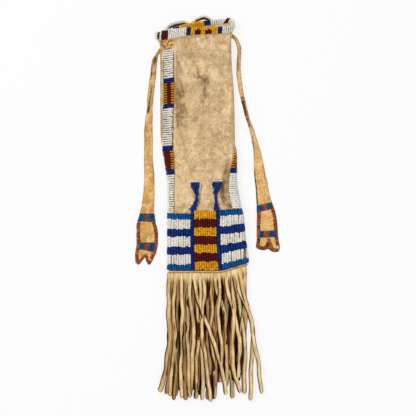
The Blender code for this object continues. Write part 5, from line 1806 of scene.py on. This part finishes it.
class PIPEBAG_OT_stage(bpy.types.Operator):
    """Plain pale floor, soft studio light, and the camera straight above the bag"""

    bl_idname = "pipe_bag.stage"
    bl_label = "Stage"

    def execute(self, context):
        stage = settings().stage
        scene = context.scene
        aim = np.array((*from_pixel(PHOTO_SIDE / 2, PHOTO_SIDE / 2), 0.0)) - REST
        lens = bpy.data.cameras.new("camera")
        lens.sensor_width = SENSOR
        lens.lens = SENSOR * stage.distance / (PHOTO_SIDE * PIXEL)
        lens.clip_end = FAR_CLIP
        scene.camera = linked("camera", lens)
        scene.camera.location = (aim[0], aim[1], stage.distance)
        self.floor(stage)
        for name, place, size, share in LAMPS:
            self.lamp(name, place, size, stage.key * share, aim)
        world = bpy.data.worlds.new("studio")
        scene.world = world
        world.use_nodes = True
        tree = world.node_tree
        background = tree.nodes["Background"]
        background.inputs["Color"].default_value = WHITE
        strength = add(tree, "ShaderNodeMapRange", [("Value", seen(tree))], To_Min=stage.sky, To_Max=1.0)
        tree.links.new(strength.outputs["Result"], background.inputs["Strength"])
        scene.view_settings.view_transform = "Standard"
        return {"FINISHED"}

    def floor(self, stage):
        """A flat floor that keeps the shadow and looks white to the camera."""
        points = FLOOR_HALF * np.array(((-1, -1, 0), (1, -1, 0), (1, 1, 0), (-1, 1, 0)))
        material, shader = new_material("pale_floor", 0.9, stage.floor)
        tree = material.node_tree
        output = next(node for node in tree.nodes if node.type == "OUTPUT_MATERIAL")
        glow = add(tree, "ShaderNodeEmission", Color=WHITE, Strength=1.0)
        mix = add(tree, "ShaderNodeMixShader", [(0, times(tree, seen(tree), FLOOR_GLOW)),
                                                (1, shader.outputs[0]), (2, glow.outputs[0])])
        tree.links.new(mix.outputs[0], output.inputs["Surface"])
        quads = np.array(((0, 1, 2, 3),))
        mesh_object("floor", points, quads, material, smooth=False)

    def lamp(self, name, place, size, power, aim):
        """A round soft lamp at a place seen from the aim, turned towards it."""
        data = bpy.data.lights.new(name, "AREA")
        data.shape = "DISK"
        data.size = size
        data.energy = power
        lamp = linked(name, data)
        lamp.location = Vector(place) + Vector(aim)
        lamp.rotation_euler = (-Vector(place)).to_track_quat("-Z", "Y").to_euler()


class PIPEBAG_PT_panel(bpy.types.Panel):
    """Sidebar panel: a button for each piece and the stage, then all settings"""

    bl_label = "Pipe Bag"
    bl_idname = "PIPEBAG_PT_panel"
    bl_space_type = "VIEW_3D"
    bl_region_type = "UI"
    bl_category = "Pipe Bag"

    def draw(self, context):
        for kind in MAKERS:
            self.layout.operator(kind.bl_idname)
        for label in ("hide", "beads", "fringe", "ties", "stage"):
            group = getattr(context.scene.pipe_bag, label)
            box = self.layout.box()
            box.label(text=label.capitalize())
            for key in group.bl_rna.properties.keys():
                if key not in ("rna_type", "name"):
                    box.prop(group, key)


MAKERS = (PIPEBAG_OT_stage, PIPEBAG_OT_hide_pouch, PIPEBAG_OT_panel_beads, PIPEBAG_OT_figure_beads,
          PIPEBAG_OT_strip_beads, PIPEBAG_OT_rim_beads, PIPEBAG_OT_seam_welt, PIPEBAG_OT_fringe,
          PIPEBAG_OT_ties, PIPEBAG_OT_hanging_thong)
GROUPS = (HideSettings, BeadSettings, FringeSettings, TieSettings, StageSettings, PipeBagSettings)


def register():
    """Registers the classes and puts the settings on the scene."""
    for kind in GROUPS + MAKERS + (PIPEBAG_PT_panel,):
        bpy.utils.register_class(kind)
    bpy.types.Scene.pipe_bag = PointerProperty(type=PipeBagSettings)


def unregister():
    """Takes the settings and the classes away again."""
    del bpy.types.Scene.pipe_bag
    for kind in reversed(GROUPS + MAKERS + (PIPEBAG_PT_panel,)):
        bpy.utils.unregister_class(kind)


def main():
    """Makes the stage and every piece."""
    register()
    for kind in MAKERS:
        group, name = kind.bl_idname.split(".")
        getattr(getattr(bpy.ops, group), name)()


if __name__ == "__main__":
    main()
